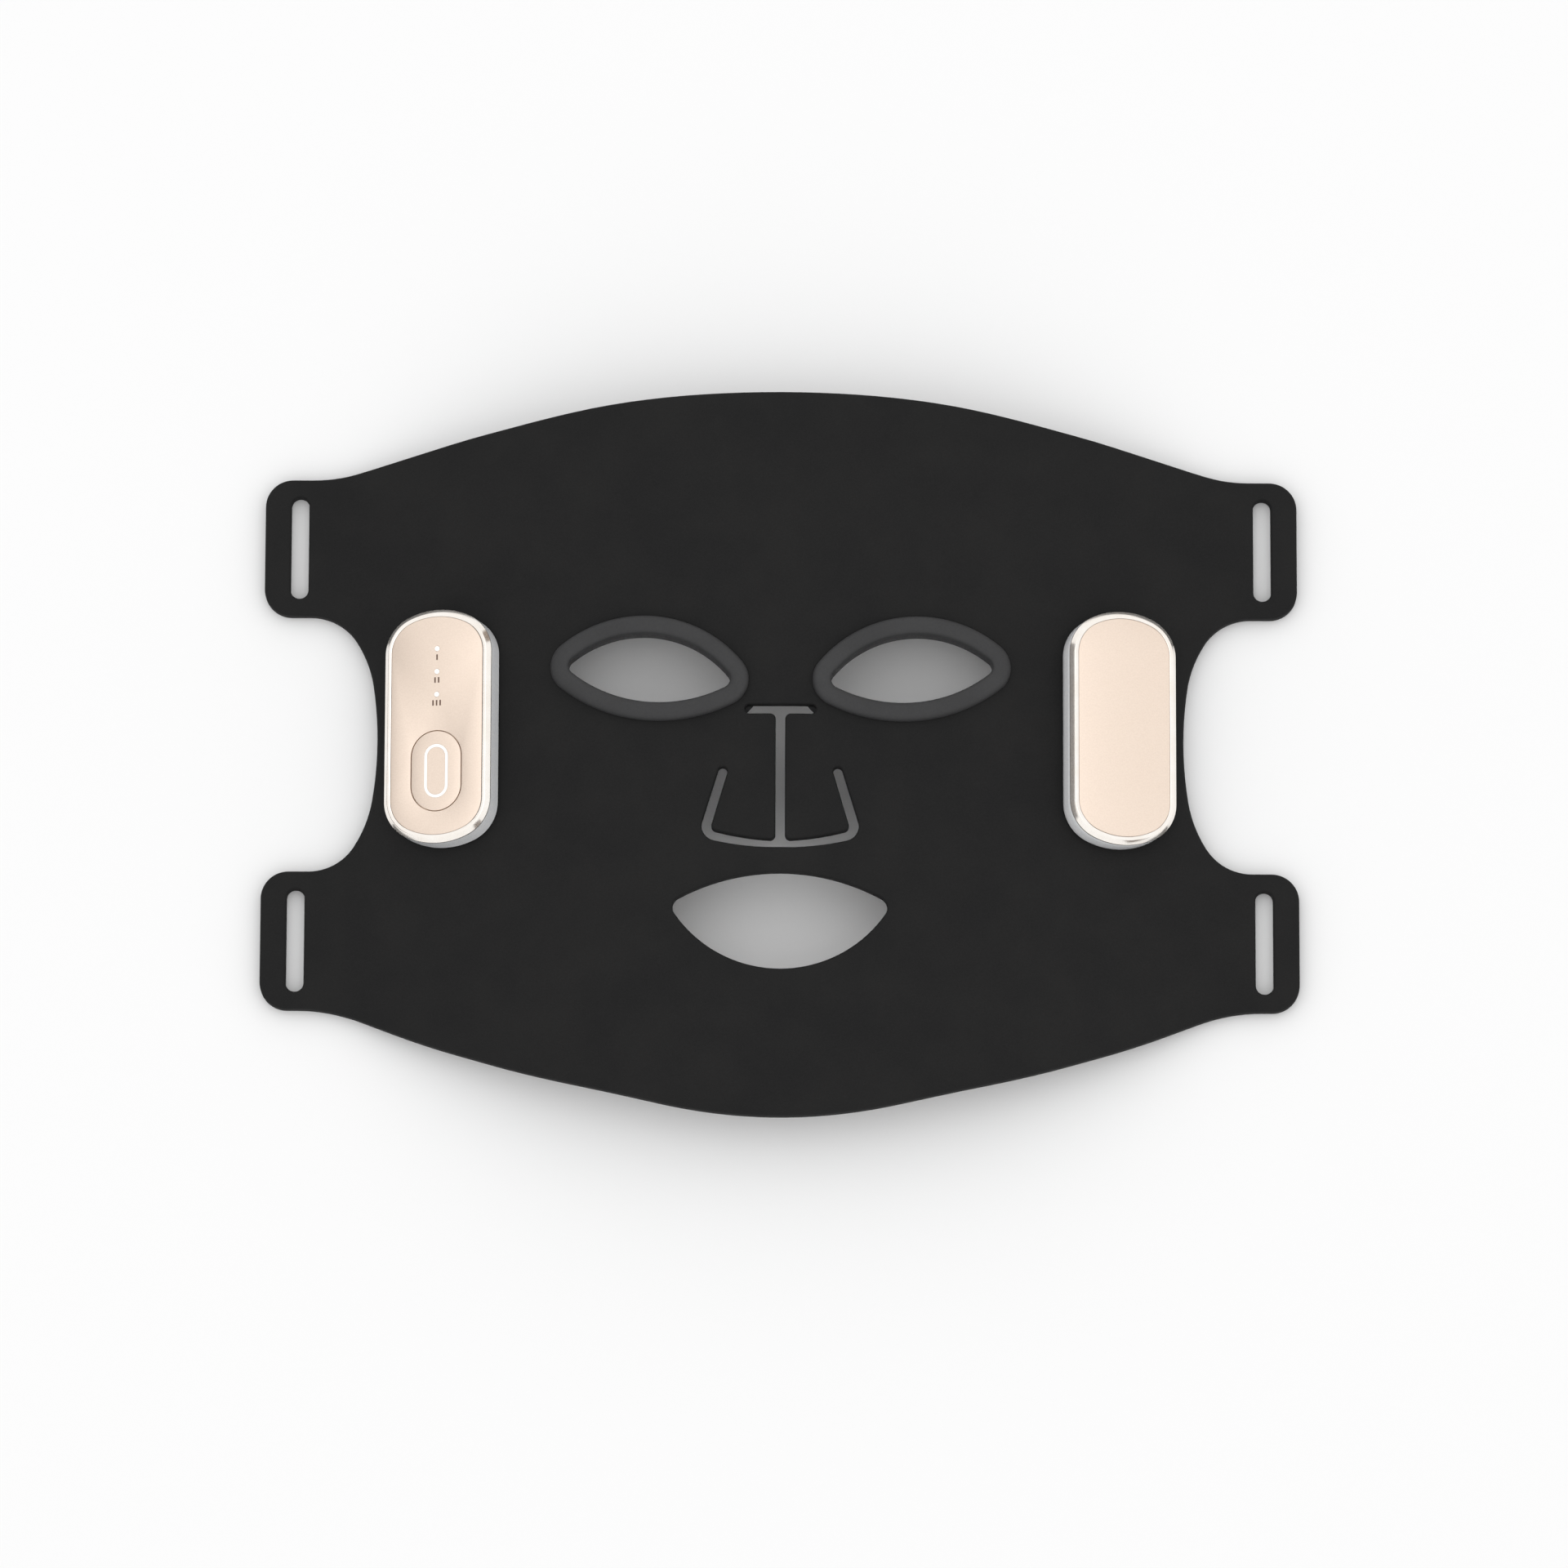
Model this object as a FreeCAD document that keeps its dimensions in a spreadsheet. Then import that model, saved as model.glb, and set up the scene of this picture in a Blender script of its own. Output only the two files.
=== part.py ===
import FreeCAD, Part
import math
import os

import Sketcher

# LED face mask: a flexible silicone sheet that arches over the face, with two rigid pods
# screwed to it. The sheet lies outer face up (+Z) on its four strap tabs, brow towards +Y.
# Every piece is a document object with a Label of its own, bound to the sheet "Sizes".

Vector = FreeCAD.Vector
UP = Vector(0, 0, 1)
ALONG_Y = Vector(0, 1, 0)

SIZES = [
    # outline of the sheet
    ("brow_reach", 98.95, "middle of the object to the brow edge"),
    ("chin_reach", 98.95, "middle of the object to the chin edge"),
    ("tab_reach", 139.6, "centre line to the outer edge of a strap tab"),
    ("tab_height", 37.6, "strap tab, along Y"),
    ("upper_tab_drop", 40.4, "brow edge down to the middle of the upper tabs"),
    ("lower_tab_rise", 49.7, "chin edge up to the middle of the lower tabs"),
    ("tab_corner", 7.4, "corner radius of a tab"),
    ("tab_blend", 45.0, "radius where the long edges run into a tab"),
    ("brow_radius", 270.0, "radius of the brow edge"),
    ("brow_knee_x", 85.0, "where the brow edge steepens"),
    ("brow_knee_drop", 12.05, "from the brow edge at the middle down to that knee"),
    ("brow_blend_x", 121.0, "where the brow edge would meet the tab edge"),
    ("knee_radius", 230.0, "radius at the knees of the long edges"),
    ("chin_radius", 150.0, "radius of the chin edge"),
    ("jaw_knee_x", 66.0, "first knee of the jaw edge"),
    ("jaw_knee_rise", 10.95, "from the chin edge at the middle up to that knee"),
    ("jaw_turn_x", 95.0, "second knee of the jaw edge"),
    ("jaw_turn_rise", 20.35, "from the chin edge at the middle up to that knee"),
    ("jaw_blend_x", 120.3, "where the jaw edge would meet the tab edge"),
    ("ear_depth_x", 108.6, "centre line to the bottom of the ear cut-out"),
    ("ear_radius", 100.0, "middle of the ear cut-out"),
    ("ear_side_radius", 33.0, "sides of the ear cut-out"),
    ("ear_corner_radius", 14.7, "where the cut-out meets a tab"),
    ("ear_first_turn", 9.0, "degrees from the middle arc to the side arc"),
    ("ear_second_turn", 32.0, "degrees from the middle arc to the run into a tab"),
    # arch of the sheet
    ("arch_radius", 270.0, "arch across the face"),
    ("arch_slope", 15.0, "slope of the temples, degrees"),
    ("temple_end_x", 110.0, "where the temple starts to level out"),
    ("level_radius", 45.0, "reverse bend that brings the tabs level"),
    ("crown_drop", 7.0, "brow and chin edges below the middle"),
    ("fold_x", 69.0, "centre line to the fold line of a wing"),
    ("fold_gap", 1.2, "free width at a fold line"),
    # layers, each below the one before
    ("sheet_depth", 4.0, "whole sheet"),
    ("skin_depth", 1.5, "front skin"),
    ("layer_gap", 0.15, "skin to flexible circuit, and circuit to emitters"),
    ("flex_depth", 0.3, "flexible circuit"),
    ("liner_gap", 0.2, "emitters to rear liner"),
    ("rim_width", 3.0, "solid rim round the edge and the openings"),
    ("layer_clearance", 0.25, "between the rim and the layers inside it"),
    ("pocket_x", 114.0, "centre line to the end of the layers"),
    # eye openings and cushions
    ("eye_upper_x", 37.45, "upper lid arc, centre"),
    ("eye_upper_y", 1.0, ""),
    ("eye_upper_radius", 30.0, ""),
    ("eye_lower_x", 31.75, "lower lid arc, centre"),
    ("eye_lower_y", 49.8, ""),
    ("eye_lower_radius", 37.75, ""),
    ("eye_tip_radius", 2.5, "corners of the eye opening"),
    ("cushion_width", 5.0, "front ring of the eye cushion"),
    ("cushion_height", 2.3, "ring above the sheet"),
    ("cushion_waist", 1.9, "wall of the cushion inside the sheet"),
    ("cushion_flange", 3.4, "rear flange beyond the front ring"),
    ("flange_depth", 1.2, "thickness of the rear flange"),
    ("cushion_clearance", 0.15, "between cushion and sheet"),
    # mouth opening
    ("mouth_upper_y", -92.2, "upper lip arc, centre"),
    ("mouth_upper_radius", 58.2, ""),
    ("mouth_lower_y", -25.75, "lower lip arc, centre"),
    ("mouth_lower_radius", 34.1, ""),
    ("mouth_tip_radius", 3.0, "corners of the mouth opening"),
    # nose slots
    ("slot_width", 2.5, "cuts round the nose flaps"),
    ("bridge_y", 10.25, "cross cut over the bridge"),
    ("bridge_reach", 8.35, "centre line to the last full width of the cross cut"),
    ("nostril_y", -26.6, "lower cut on the centre line"),
    ("nostril_radius", 70.0, "curve of the lower cut"),
    ("nostril_x", 20.4, "centre line to the corner of the lower cut"),
    ("flank_top_x", 15.4, "upper end of a side cut"),
    ("flank_top_y", -6.8, ""),
    ("hinge_gap", 0.3, "between a nose flap and the sheet at its hinge"),
    # strap slots
    ("strap_slot_x", 130.2, "centre line to a strap slot"),
    ("strap_slot_length", 28.0, "takes 25 mm webbing"),
    ("strap_slot_width", 4.8, ""),
    # light emitters
    ("led_pitch", 11.5, "grid of the emitters"),
    ("led_size", 2.8, "side of an emitter"),
    ("led_height", 0.7, ""),
    ("led_margin", 3.2, "emitter centre to the edge of the circuit"),
    ("led_fold_margin", 6.3, "emitter centre to a fold line"),
    ("led_eye_margin", 2.5, "emitter centre to the rear flange of an eye cushion"),
    ("led_clamp_margin", 2.6, "emitter centre to a clamp plate"),
    ("flap_led_x", 6.9, "centre line to the emitters of a nose flap"),
    ("flap_led_y", -2.9, "upper emitter of a nose flap"),
    ("flap_led_pitch", 8.6, ""),
    ("flap_led_margin", 1.75, "emitter centre to the edge of a flap's circuit"),
    # pods
    ("pod_x", 89.9, "centre line to the middle of a pod"),
    ("pod_y", 6.5, "middle of a pod towards the brow"),
    ("pod_width", 29.7, ""),
    ("pod_length", 63.8, ""),
    ("pod_end_radius", 20.0, "domed ends of a pod"),
    ("pod_corner_radius", 11.0, "corners of a pod"),
    ("pod_height", 9.0, "face of a pod above the sheet"),
    ("gasket_height", 0.6, "foam gasket under a pod"),
    ("gasket_width", 3.0, ""),
    ("pod_wall", 1.6, "side wall of a pod"),
    ("pod_floor", 1.2, "floor of a pod"),
    ("bezel_height", 1.8, "face of a pod down to the top of its side wall"),
    ("bezel_chamfer", 1.2, "bright chamfer round the face"),
    ("bezel_land", 1.6, "outer edge to the face plate"),
    ("bezel_ledge", 1.0, "ledge that carries the face plate"),
    ("face_plate", 1.0, "thickness of the face plate"),
    ("part_gap", 0.05, "between pieces that seat on each other"),
    ("boss_x", 8.0, "screw bosses from the pod's middle"),
    ("boss_y", 24.5, ""),
    ("boss_radius", 2.2, ""),
    ("boss_top", 3.4, "top of a boss above the sheet"),
    ("screw_radius", 0.75, ""),
    ("screw_head_radius", 1.4, ""),
    ("screw_head_height", 0.6, ""),
    ("screw_clearance", 0.05, ""),
    ("screw_hole_radius", 1.1, "holes through the skin"),
    ("clamp_width", 22.0, "clamp plate behind the skin"),
    ("clamp_length", 54.0, ""),
    ("clamp_thickness", 0.5, ""),
    ("clamp_gap", 0.1, "between skin and clamp plate"),
    ("clamp_clearance", 0.6, "clamp plate to the circuit round it"),
    ("screw_tip_gap", 0.3, "screw tip below the top of its boss"),
    ("ribbon_width", 8.0, "flexible tail into a pod"),
    ("ribbon_thickness", 0.3, ""),
    ("ribbon_slot", 0.5, "clearance round the ribbon"),
    ("plug_overlap", 0.3, "plug beyond the ribbon on each side"),
    ("plug_depth", 2.4, ""),
    ("plug_height", 0.95, ""),
    ("plug_drop", 1.0, "foot of the plug below the boss top"),
    ("gasket_inset", 0.5, "gasket behind the outer edge of a pod"),
    # control pod
    ("button_y", -12.4, "middle of the button"),
    ("button_width", 14.2, "opening for the button"),
    ("button_length", 22.1, ""),
    ("button_gap", 0.2, "groove round the button"),
    ("button_travel", 0.4, ""),
    ("button_flange", 1.2, "flange that keeps the button in"),
    ("flange_height", 0.8, ""),
    ("flange_clearance", 0.25, "flange below the face plate"),
    ("ring_width", 6.7, "light ring in the button"),
    ("ring_length", 14.7, ""),
    ("ring_line", 0.9, ""),
    ("ring_depth", 0.5, ""),
    ("mode_first_y", 21.0, "first mode light"),
    ("mode_pitch", 6.25, ""),
    ("mode_radius", 0.7, ""),
    ("mark_drop", 2.35, "mode light to its marks"),
    ("mark_height", 1.5, ""),
    ("mark_width", 0.4, ""),
    ("mark_pitch", 1.0, ""),
    ("mark_thickness", 0.06, ""),
    ("light_chip_length", 1.6, "chips under the mode lights"),
    ("light_chip_width", 0.8, ""),
    ("light_chip_height", 0.5, ""),
    ("pipe_gap", 0.1, "light pipe above its chip"),
    ("board_width", 21.0, ""),
    ("board_thickness", 1.0, ""),
    ("board_rear_y", -27.0, ""),
    ("board_gap", 0.6, "between the board and the charging inlet"),
    ("board_corner", 4.5, ""),
    ("chip_size", 5.0, "controller"),
    ("chip_height", 0.9, ""),
    ("chip_x", -6.1, "middle of the controller"),
    ("chip_y", 6.5, ""),
    ("switch_size", 6.0, ""),
    ("switch_height", 1.9, ""),
    ("plunger_radius", 1.6, ""),
    ("plunger_clearance", 0.1, ""),
    ("plunger_reach", 1.1, "how far the plunger stands in the switch"),
    ("port_width", 8.94, "charging inlet"),
    ("port_height", 3.26, ""),
    ("port_wall", 0.3, ""),
    ("port_length", 7.4, ""),
    ("port_level", 4.2, "middle of the inlet above the sheet"),
    ("port_recess", 0.7, "inlet behind the end of the pod"),
    ("port_back", 0.6, "rear wall of the inlet"),
    ("port_clearance", 0.15, "slot round the inlet"),
    ("tongue_width", 6.6, ""),
    ("tongue_thickness", 0.7, ""),
    ("tongue_recess", 1.0, "tongue behind the mouth of the inlet"),
    # battery pod
    ("cell_width", 23.0, ""),
    ("cell_length", 41.0, ""),
    ("cell_height", 4.6, ""),
    ("cell_edge", 1.2, "rounded edges of the cell"),
    ("foam_margin", 2.0, "foam pad inside the edges of the cell"),
    ("protection_length", 10.0, "protection board"),
    ("protection_width", 5.0, ""),
    ("protection_height", 0.8, ""),
    ("protection_gap", 1.2, "between the cell and its protection board"),
]

document = FreeCAD.newDocument("LedFaceMask")
sheet = document.addObject("Spreadsheet::Sheet", "Sizes")
for row, (alias, value, note) in enumerate(SIZES, start=1):
    sheet.set("A%d" % row, alias)
    sheet.set("B%d" % row, str(value))
    sheet.set("C%d" % row, note)
    sheet.setAlias("B%d" % row, alias)
document.recompute()

pieces = []


def size(alias):
    """Value of one driving dimension."""
    return float(sheet.get(alias))


def number(expression):
    """Value of an expression such as 'Sizes.pod_width / 2'."""
    return float(sheet.evalExpression(expression))


def keep(piece, label):
    """Register a finished piece under the name of its node."""
    piece.Label = label
    pieces.append(piece)
    return piece


def keep_shape(label, shape):
    """A piece whose shape is worked out with Part's own functions."""
    feature = document.addObject("Part::Feature", label)
    feature.Shape = shape
    return keep(feature, label)


# ---------------------------------------------------------------- plan of the sheet

def point(x, y, z=0.0):
    return Vector(x, y, z)


def rounded_wire(corners):
    """Closed wire through (x, y, radius) corners, each one rounded by its tangent arc."""
    arcs = []
    count = len(corners)
    for index, (x, y, radius) in enumerate(corners):
        corner = point(x, y)
        before = (point(*corners[index - 1][:2]) - corner).normalize()
        after = (point(*corners[(index + 1) % count][:2]) - corner).normalize()
        half_angle = before.getAngle(after) / 2
        reach = radius / math.tan(half_angle)
        middle = (before + after).normalize()
        centre = corner + middle * (radius / math.sin(half_angle))
        first = corner + before * reach
        last = corner + after * reach
        arcs.append((first, centre - middle * radius, last))
    edges = []
    for index, (first, middle, last) in enumerate(arcs):
        edges.append(Part.Arc(first, middle, last).toShape())
        following = arcs[(index + 1) % count][0]
        if last.distanceToPoint(following) > 1e-4:
            edges.append(Part.LineSegment(last, following).toShape())
    return Part.Wire(edges)


# the tabs hang off the brow and chin edges: their middle, and from there to a tab's own middle
UPPER_TAB = size("brow_reach") - size("upper_tab_drop")
LOWER_TAB = size("lower_tab_rise") - size("chin_reach")
TAB_MIDDLE = (UPPER_TAB + LOWER_TAB) / 2
TAB_SPREAD = (UPPER_TAB - LOWER_TAB) / 2


def apex_corner(reach, radius, knee_x, knee_y):
    """Corner on the centre line whose arc peaks at reach and whose side runs to the knee."""
    centre = reach - radius
    distance = math.hypot(knee_x, knee_y - centre)
    turn = math.atan2(knee_x, knee_y - centre) - math.acos(radius / distance)
    return centre + radius / math.cos(turn)


def outline_face(inset):
    """The sheet's outline, moved inwards by inset."""
    tab_reach = size("tab_reach")
    upper_tab, lower_tab = TAB_MIDDLE + TAB_SPREAD, TAB_MIDDLE - TAB_SPREAD
    half_tab = size("tab_height") / 2
    middle = TAB_MIDDLE
    ear_radius = size("ear_radius")
    side_radius = size("ear_side_radius")
    corner_radius = size("ear_corner_radius")
    first_turn = math.radians(size("ear_first_turn"))
    second_turn = math.radians(size("ear_second_turn"))
    # the ear cut-out is a chain of three arcs on each side of its middle
    ear_apex = size("ear_depth_x") - ear_radius * (1 / math.cos(first_turn) - 1)
    run = ear_radius * math.tan(first_turn) + side_radius * math.tan((second_turn - first_turn) / 2)
    side_x = ear_apex + run * math.sin(first_turn)
    side_y = run * math.cos(first_turn)
    rise = (TAB_SPREAD - half_tab) - side_y
    edge_x = side_x + rise * math.tan(second_turn)
    brow_knee = size("brow_reach") - size("brow_knee_drop")
    jaw_knee = size("chin_reach") - size("jaw_knee_rise")
    jaw_turn = size("chin_reach") - size("jaw_turn_rise")
    brow = apex_corner(size("brow_reach"), size("brow_radius"), size("brow_knee_x"), brow_knee)
    chin = apex_corner(size("chin_reach"), size("chin_radius"), size("jaw_knee_x"), jaw_knee)
    right = [
        (size("jaw_knee_x"), -jaw_knee, size("knee_radius")),
        (size("jaw_turn_x"), -jaw_turn, size("knee_radius")),
        (size("jaw_blend_x"), lower_tab - half_tab, size("tab_blend")),
        (tab_reach, lower_tab - half_tab, size("tab_corner")),
        (tab_reach, lower_tab + half_tab, size("tab_corner")),
        (edge_x, lower_tab + half_tab, corner_radius),
        (side_x, middle - side_y, side_radius),
        (ear_apex, middle, ear_radius),
        (side_x, middle + side_y, side_radius),
        (edge_x, upper_tab - half_tab, corner_radius),
        (tab_reach, upper_tab - half_tab, size("tab_corner")),
        (tab_reach, upper_tab + half_tab, size("tab_corner")),
        (size("brow_blend_x"), upper_tab + half_tab, size("tab_blend")),
        (size("brow_knee_x"), brow_knee, size("knee_radius")),
    ]
    left = [(-x, y, radius) for x, y, radius in reversed(right)]
    corners = [(0, -chin, size("chin_radius"))] + right
    corners += [(0, brow, size("brow_radius"))] + left
    face = Part.Face(rounded_wire(corners))
    if inset:
        face = face.makeOffset2D(-inset)
    return face


def disc(x, y, radius):
    return Part.Face(Part.Wire(Part.makeCircle(radius, point(x, y))))


def lens_solid(upper, lower, tip_radius, grow, low, high):
    """Upright prism where two discs (x, y, radius) meet, its tips rounded, edges moved out by grow."""
    face = disc(upper[0], upper[1], upper[2] + grow).common(disc(lower[0], lower[1], lower[2] + grow))
    prism = face.extrude(UP * (high - low))
    prism.translate(UP * low)
    upright = [edge for edge in prism.Edges if abs(edge.tangentAt(edge.FirstParameter).z) > 0.99]
    return prism.Solids[0].makeFillet(tip_radius + grow, upright)


def eye_solid(side, grow, low, high):
    """Eye opening of one side (-1 left, 1 right)."""
    upper = (side * size("eye_upper_x"), size("eye_upper_y"), size("eye_upper_radius"))
    lower = (side * size("eye_lower_x"), size("eye_lower_y"), size("eye_lower_radius"))
    return lens_solid(upper, lower, size("eye_tip_radius"), grow, low, high)


def mouth_solid(grow, low, high):
    upper = (0, size("mouth_upper_y"), size("mouth_upper_radius"))
    lower = (0, size("mouth_lower_y"), size("mouth_lower_radius"))
    return lens_solid(upper, lower, size("mouth_tip_radius"), grow, low, high)


def stadium_solid(x, y, width, length, low, high):
    """Upright slot with round ends, long side along Y."""
    half = (length - width) / 2
    body = Part.makeBox(width, 2 * half, high - low, point(x - width / 2, y - half, low))
    ends = [Part.makeCylinder(width / 2, high - low, point(x, y + end * half, low)) for end in (-1, 1)]
    return body.multiFuse(ends).removeSplitter()


def bar(start, end, width, low, high):
    """Upright wall along a line, with round ends."""
    length = start.distanceToPoint(end)
    box = Part.makeBox(length, width, high - low, point(0, -width / 2, low))
    angle = math.degrees(math.atan2(end.y - start.y, end.x - start.x))
    box.rotate(point(0, 0), UP, angle)
    box.translate(start)
    ends = [Part.makeCylinder(width / 2, high - low, point(p.x, p.y, low)) for p in (start, end)]
    return box.multiFuse(ends)


def nostril_corner():
    """Where a side cut meets the lower cut."""
    radius = size("nostril_radius")
    x = size("nostril_x")
    return point(x, size("nostril_y") + radius - math.sqrt(radius ** 2 - x ** 2))


def nose_slots(grow, low, high):
    """The T-shaped cut over the nose, the lower cut and the two side cuts."""
    width = size("slot_width") + 2 * grow
    bridge = size("bridge_y")
    corner = nostril_corner()
    reach = size("bridge_reach")
    cross = bar(point(-reach, bridge), point(reach, bridge), width, low, high)
    centre = bar(point(0, bridge), point(0, size("nostril_y")), width, low, high)
    radius = size("nostril_radius")
    arc_centre = point(0, size("nostril_y") + radius, low)
    turn = math.degrees(math.asin(size("nostril_x") / radius))
    outer = Part.makeCylinder(radius + width / 2, high - low, arc_centre, UP, 2 * turn)
    inner = Part.makeCylinder(radius - width / 2, high - low, arc_centre, UP, 2 * turn)
    lower = outer.cut(inner)
    lower.rotate(arc_centre, UP, 270 - turn)
    cuts = [centre, lower]
    for side in (-1, 1):
        top = point(side * size("flank_top_x"), size("flank_top_y"))
        cuts.append(bar(top, point(side * corner.x, corner.y), width, low, high))
    return cross.multiFuse(cuts)


def flap_zone(side, grow):
    """Area of one nose flap: its edges run inside the cuts, its hinge from cut end to cut end."""
    corner = nostril_corner()
    start, end = hinge_line()
    away = point(end.y - start.y, start.x - end.x).normalize() * grow
    if away.x < 0:
        away = away * -1
    corners = [
        point(0, size("bridge_y")),
        start + away,
        end + away,
        corner,
        point(0, size("nostril_y") - 0.2),
    ]
    corners = [point(side * p.x, p.y) for p in corners]
    return Part.Face(Part.makePolygon(corners + [corners[0]]))


def hinge_line():
    """Ends of the right flap's hinge, in plan."""
    half = size("slot_width") / 2
    deep, shallow = 0.8 * half, 0.5 * half  # inside the round ends of the cuts
    start = point(size("bridge_reach") + deep, size("bridge_y") - shallow)
    end = point(size("flank_top_x") - shallow, size("flank_top_y") + deep)
    return start, end


# ---------------------------------------------------------------- height of the sheet

TOP = 60.0      # above every part of the sheet
BOTTOM = -20.0  # below every part of the sheet
SLOPE = math.radians(size("arch_slope"))
FLEX_START = size("skin_depth") + size("layer_gap")
LED_START = FLEX_START + size("flex_depth") + size("layer_gap")
LINER_START = LED_START + size("led_height") + size("liner_gap")


def arch_drop(x):
    """Fall of the arch from the centre line to x, up to the end of the temple."""
    arc_end = size("arch_radius") * math.sin(SLOPE)
    if x <= arc_end:
        return size("arch_radius") - math.sqrt(size("arch_radius") ** 2 - x ** 2)
    return size("arch_radius") * (1 - math.cos(SLOPE)) + (x - arc_end) * math.tan(SLOPE)


LEVEL_DROP = size("level_radius") * (1 - math.cos(SLOPE))
CROWN_TOP = size("sheet_depth") + arch_drop(size("temple_end_x")) + LEVEL_DROP


def top_height(x, y):
    """Height of the outer face between the fold lines, and along the temples."""
    x = abs(x)
    weight = max(0.0, 1 - (x / size("fold_x")) ** 2) ** 2
    return CROWN_TOP - arch_drop(x) - size("crown_drop") * (y / size("brow_reach")) ** 2 * weight


def crown_face():
    """Outer face of the sheet between the fold lines, as one smooth surface."""
    reach_x = size("fold_x") + 3
    reach_y = max(size("brow_reach"), size("chin_reach")) + 6
    columns, rows = 17, 13
    grid = []
    for i in range(columns):
        x = reach_x * (2 * i / (columns - 1) - 1)
        ys = [reach_y * (2 * j / (rows - 1) - 1) for j in range(rows)]
        grid.append([Vector(x, y, top_height(x, y)) for y in ys])
    surface = Part.BSplineSurface()
    surface.interpolate(grid)
    return surface.toShape()


CROWN = crown_face()


def centre_layer(start, depth):
    """Layer of the middle panel, from start below the outer face, depth thick."""
    face = CROWN.copy()
    face.translate(UP * -(start + depth))
    return face.extrude(UP * depth)


def wing_layer(side, start, depth):
    """Layer of one wing: temple, reverse bend and level tab."""
    inner = size("fold_x") - 1
    bend = size("temple_end_x")
    radius = size("level_radius")
    outer = size("tab_reach") + 2
    flat_x = bend + radius * math.sin(SLOPE)
    top = size("sheet_depth") - start

    def height(x):
        return CROWN_TOP - arch_drop(x) - start

    half = SLOPE / 2
    mid = Vector(flat_x - radius * math.sin(half), 0, top + radius * (1 - math.cos(half)))
    upper = [
        Part.LineSegment(Vector(inner, 0, height(bend) + (bend - inner) * math.tan(SLOPE)),
                         Vector(bend, 0, height(bend))).toShape(),
        Part.Arc(Vector(bend, 0, height(bend)), mid, Vector(flat_x, 0, top)).toShape(),
        Part.LineSegment(Vector(flat_x, 0, top), Vector(outer, 0, top)).toShape(),
    ]
    lower = [edge.translated(UP * -depth) for edge in upper]
    ends = []
    for x, z in ((inner, height(bend) + (bend - inner) * math.tan(SLOPE)), (outer, top)):
        ends.append(Part.LineSegment(Vector(x, 0, z), Vector(x, 0, z - depth)).toShape())
    wire = Part.Wire(Part.__sortEdges__(upper + lower + ends))
    solid = Part.Face(wire).extrude(ALONG_Y * 240)
    solid.translate(ALONG_Y * -120)
    if side < 0:
        solid = solid.mirror(Vector(0, 0, 0), Vector(1, 0, 0))
    return solid


def panel_plan(margin):
    """Upright prism of the whole sheet, every edge moved into the material by margin."""
    prism = outline_face(margin).extrude(UP * (TOP - BOTTOM))
    prism.translate(UP * BOTTOM)
    eye_grow = size("cushion_waist") + size("cushion_clearance") + margin
    cuts = [eye_solid(side, eye_grow, BOTTOM - 1, TOP + 1) for side in (-1, 1)]
    cuts.append(mouth_solid(margin, BOTTOM - 1, TOP + 1))
    cuts.append(nose_slots(margin, BOTTOM - 1, TOP + 1))
    for side in (-1, 1):
        for level in (-1, 1):
            y = TAB_MIDDLE + level * TAB_SPREAD
            cuts.append(stadium_solid(side * size("strap_slot_x"), y, size("strap_slot_width"),
                                      size("strap_slot_length"), BOTTOM - 1, TOP + 1))
    return prism.cut(cuts)


def slab(low_x, high_x):
    """Everything between two planes across X."""
    return Part.makeBox(high_x - low_x, 260, TOP - BOTTOM, point(low_x, -130, BOTTOM))


def upright(face):
    solid = face.extrude(UP * (TOP - BOTTOM))
    solid.translate(UP * BOTTOM)
    return solid


HALF_GAP = size("fold_gap") / 2
CENTRE_REACH = size("fold_x") - HALF_GAP
WING_START = size("fold_x") + HALF_GAP
SKIN_PLAN = panel_plan(0)
POCKET_PLAN = panel_plan(size("rim_width"))
LAYER_PLAN = panel_plan(size("rim_width") + size("layer_clearance"))


def zone(name, plan, grow=0.0):
    """The part of a plan that belongs to one panel."""
    flaps = [upright(flap_zone(side, size("hinge_gap"))) for side in (-1, 1)]
    if name == "centre":
        return plan.common(slab(-CENTRE_REACH, CENTRE_REACH)).cut(flaps)
    if name == "left_wing":
        return plan.common(slab(-size("tab_reach") - 5, -WING_START))
    if name == "right_wing":
        return plan.common(slab(WING_START, size("tab_reach") + 5))
    side = -1 if name == "left_flap" else 1
    return plan.common(upright(flap_zone(side, 0)))


def layer(name, start, depth):
    if name == "left_wing":
        return wing_layer(-1, start, depth)
    if name == "right_wing":
        return wing_layer(1, start, depth)
    return centre_layer(start, depth)


def pod_place(side):
    """Seat of a pod: on the outer face of the temple, square to it."""
    x = size("pod_x")
    origin = Vector(side * x, size("pod_y"), CROWN_TOP - arch_drop(x))
    turn = FreeCAD.Rotation(ALONG_Y, side * size("arch_slope"))
    return FreeCAD.Placement(origin, turn)


def placed(shape, side):
    """A shape drawn in a pod's own frame, moved to its side of the mask."""
    copy = shape.copy()
    copy.Placement = pod_place(side).multiply(copy.Placement)
    return copy


def clamp_window(side, grow):
    """Upright block over a clamp plate, kept free of circuit and emitters."""
    width = size("clamp_width") + 2 * grow
    length = size("clamp_length") + 2 * grow
    x = side * size("pod_x")
    return Part.makeBox(width, length, TOP - BOTTOM, point(x - width / 2, size("pod_y") - length / 2, BOTTOM))


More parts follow.
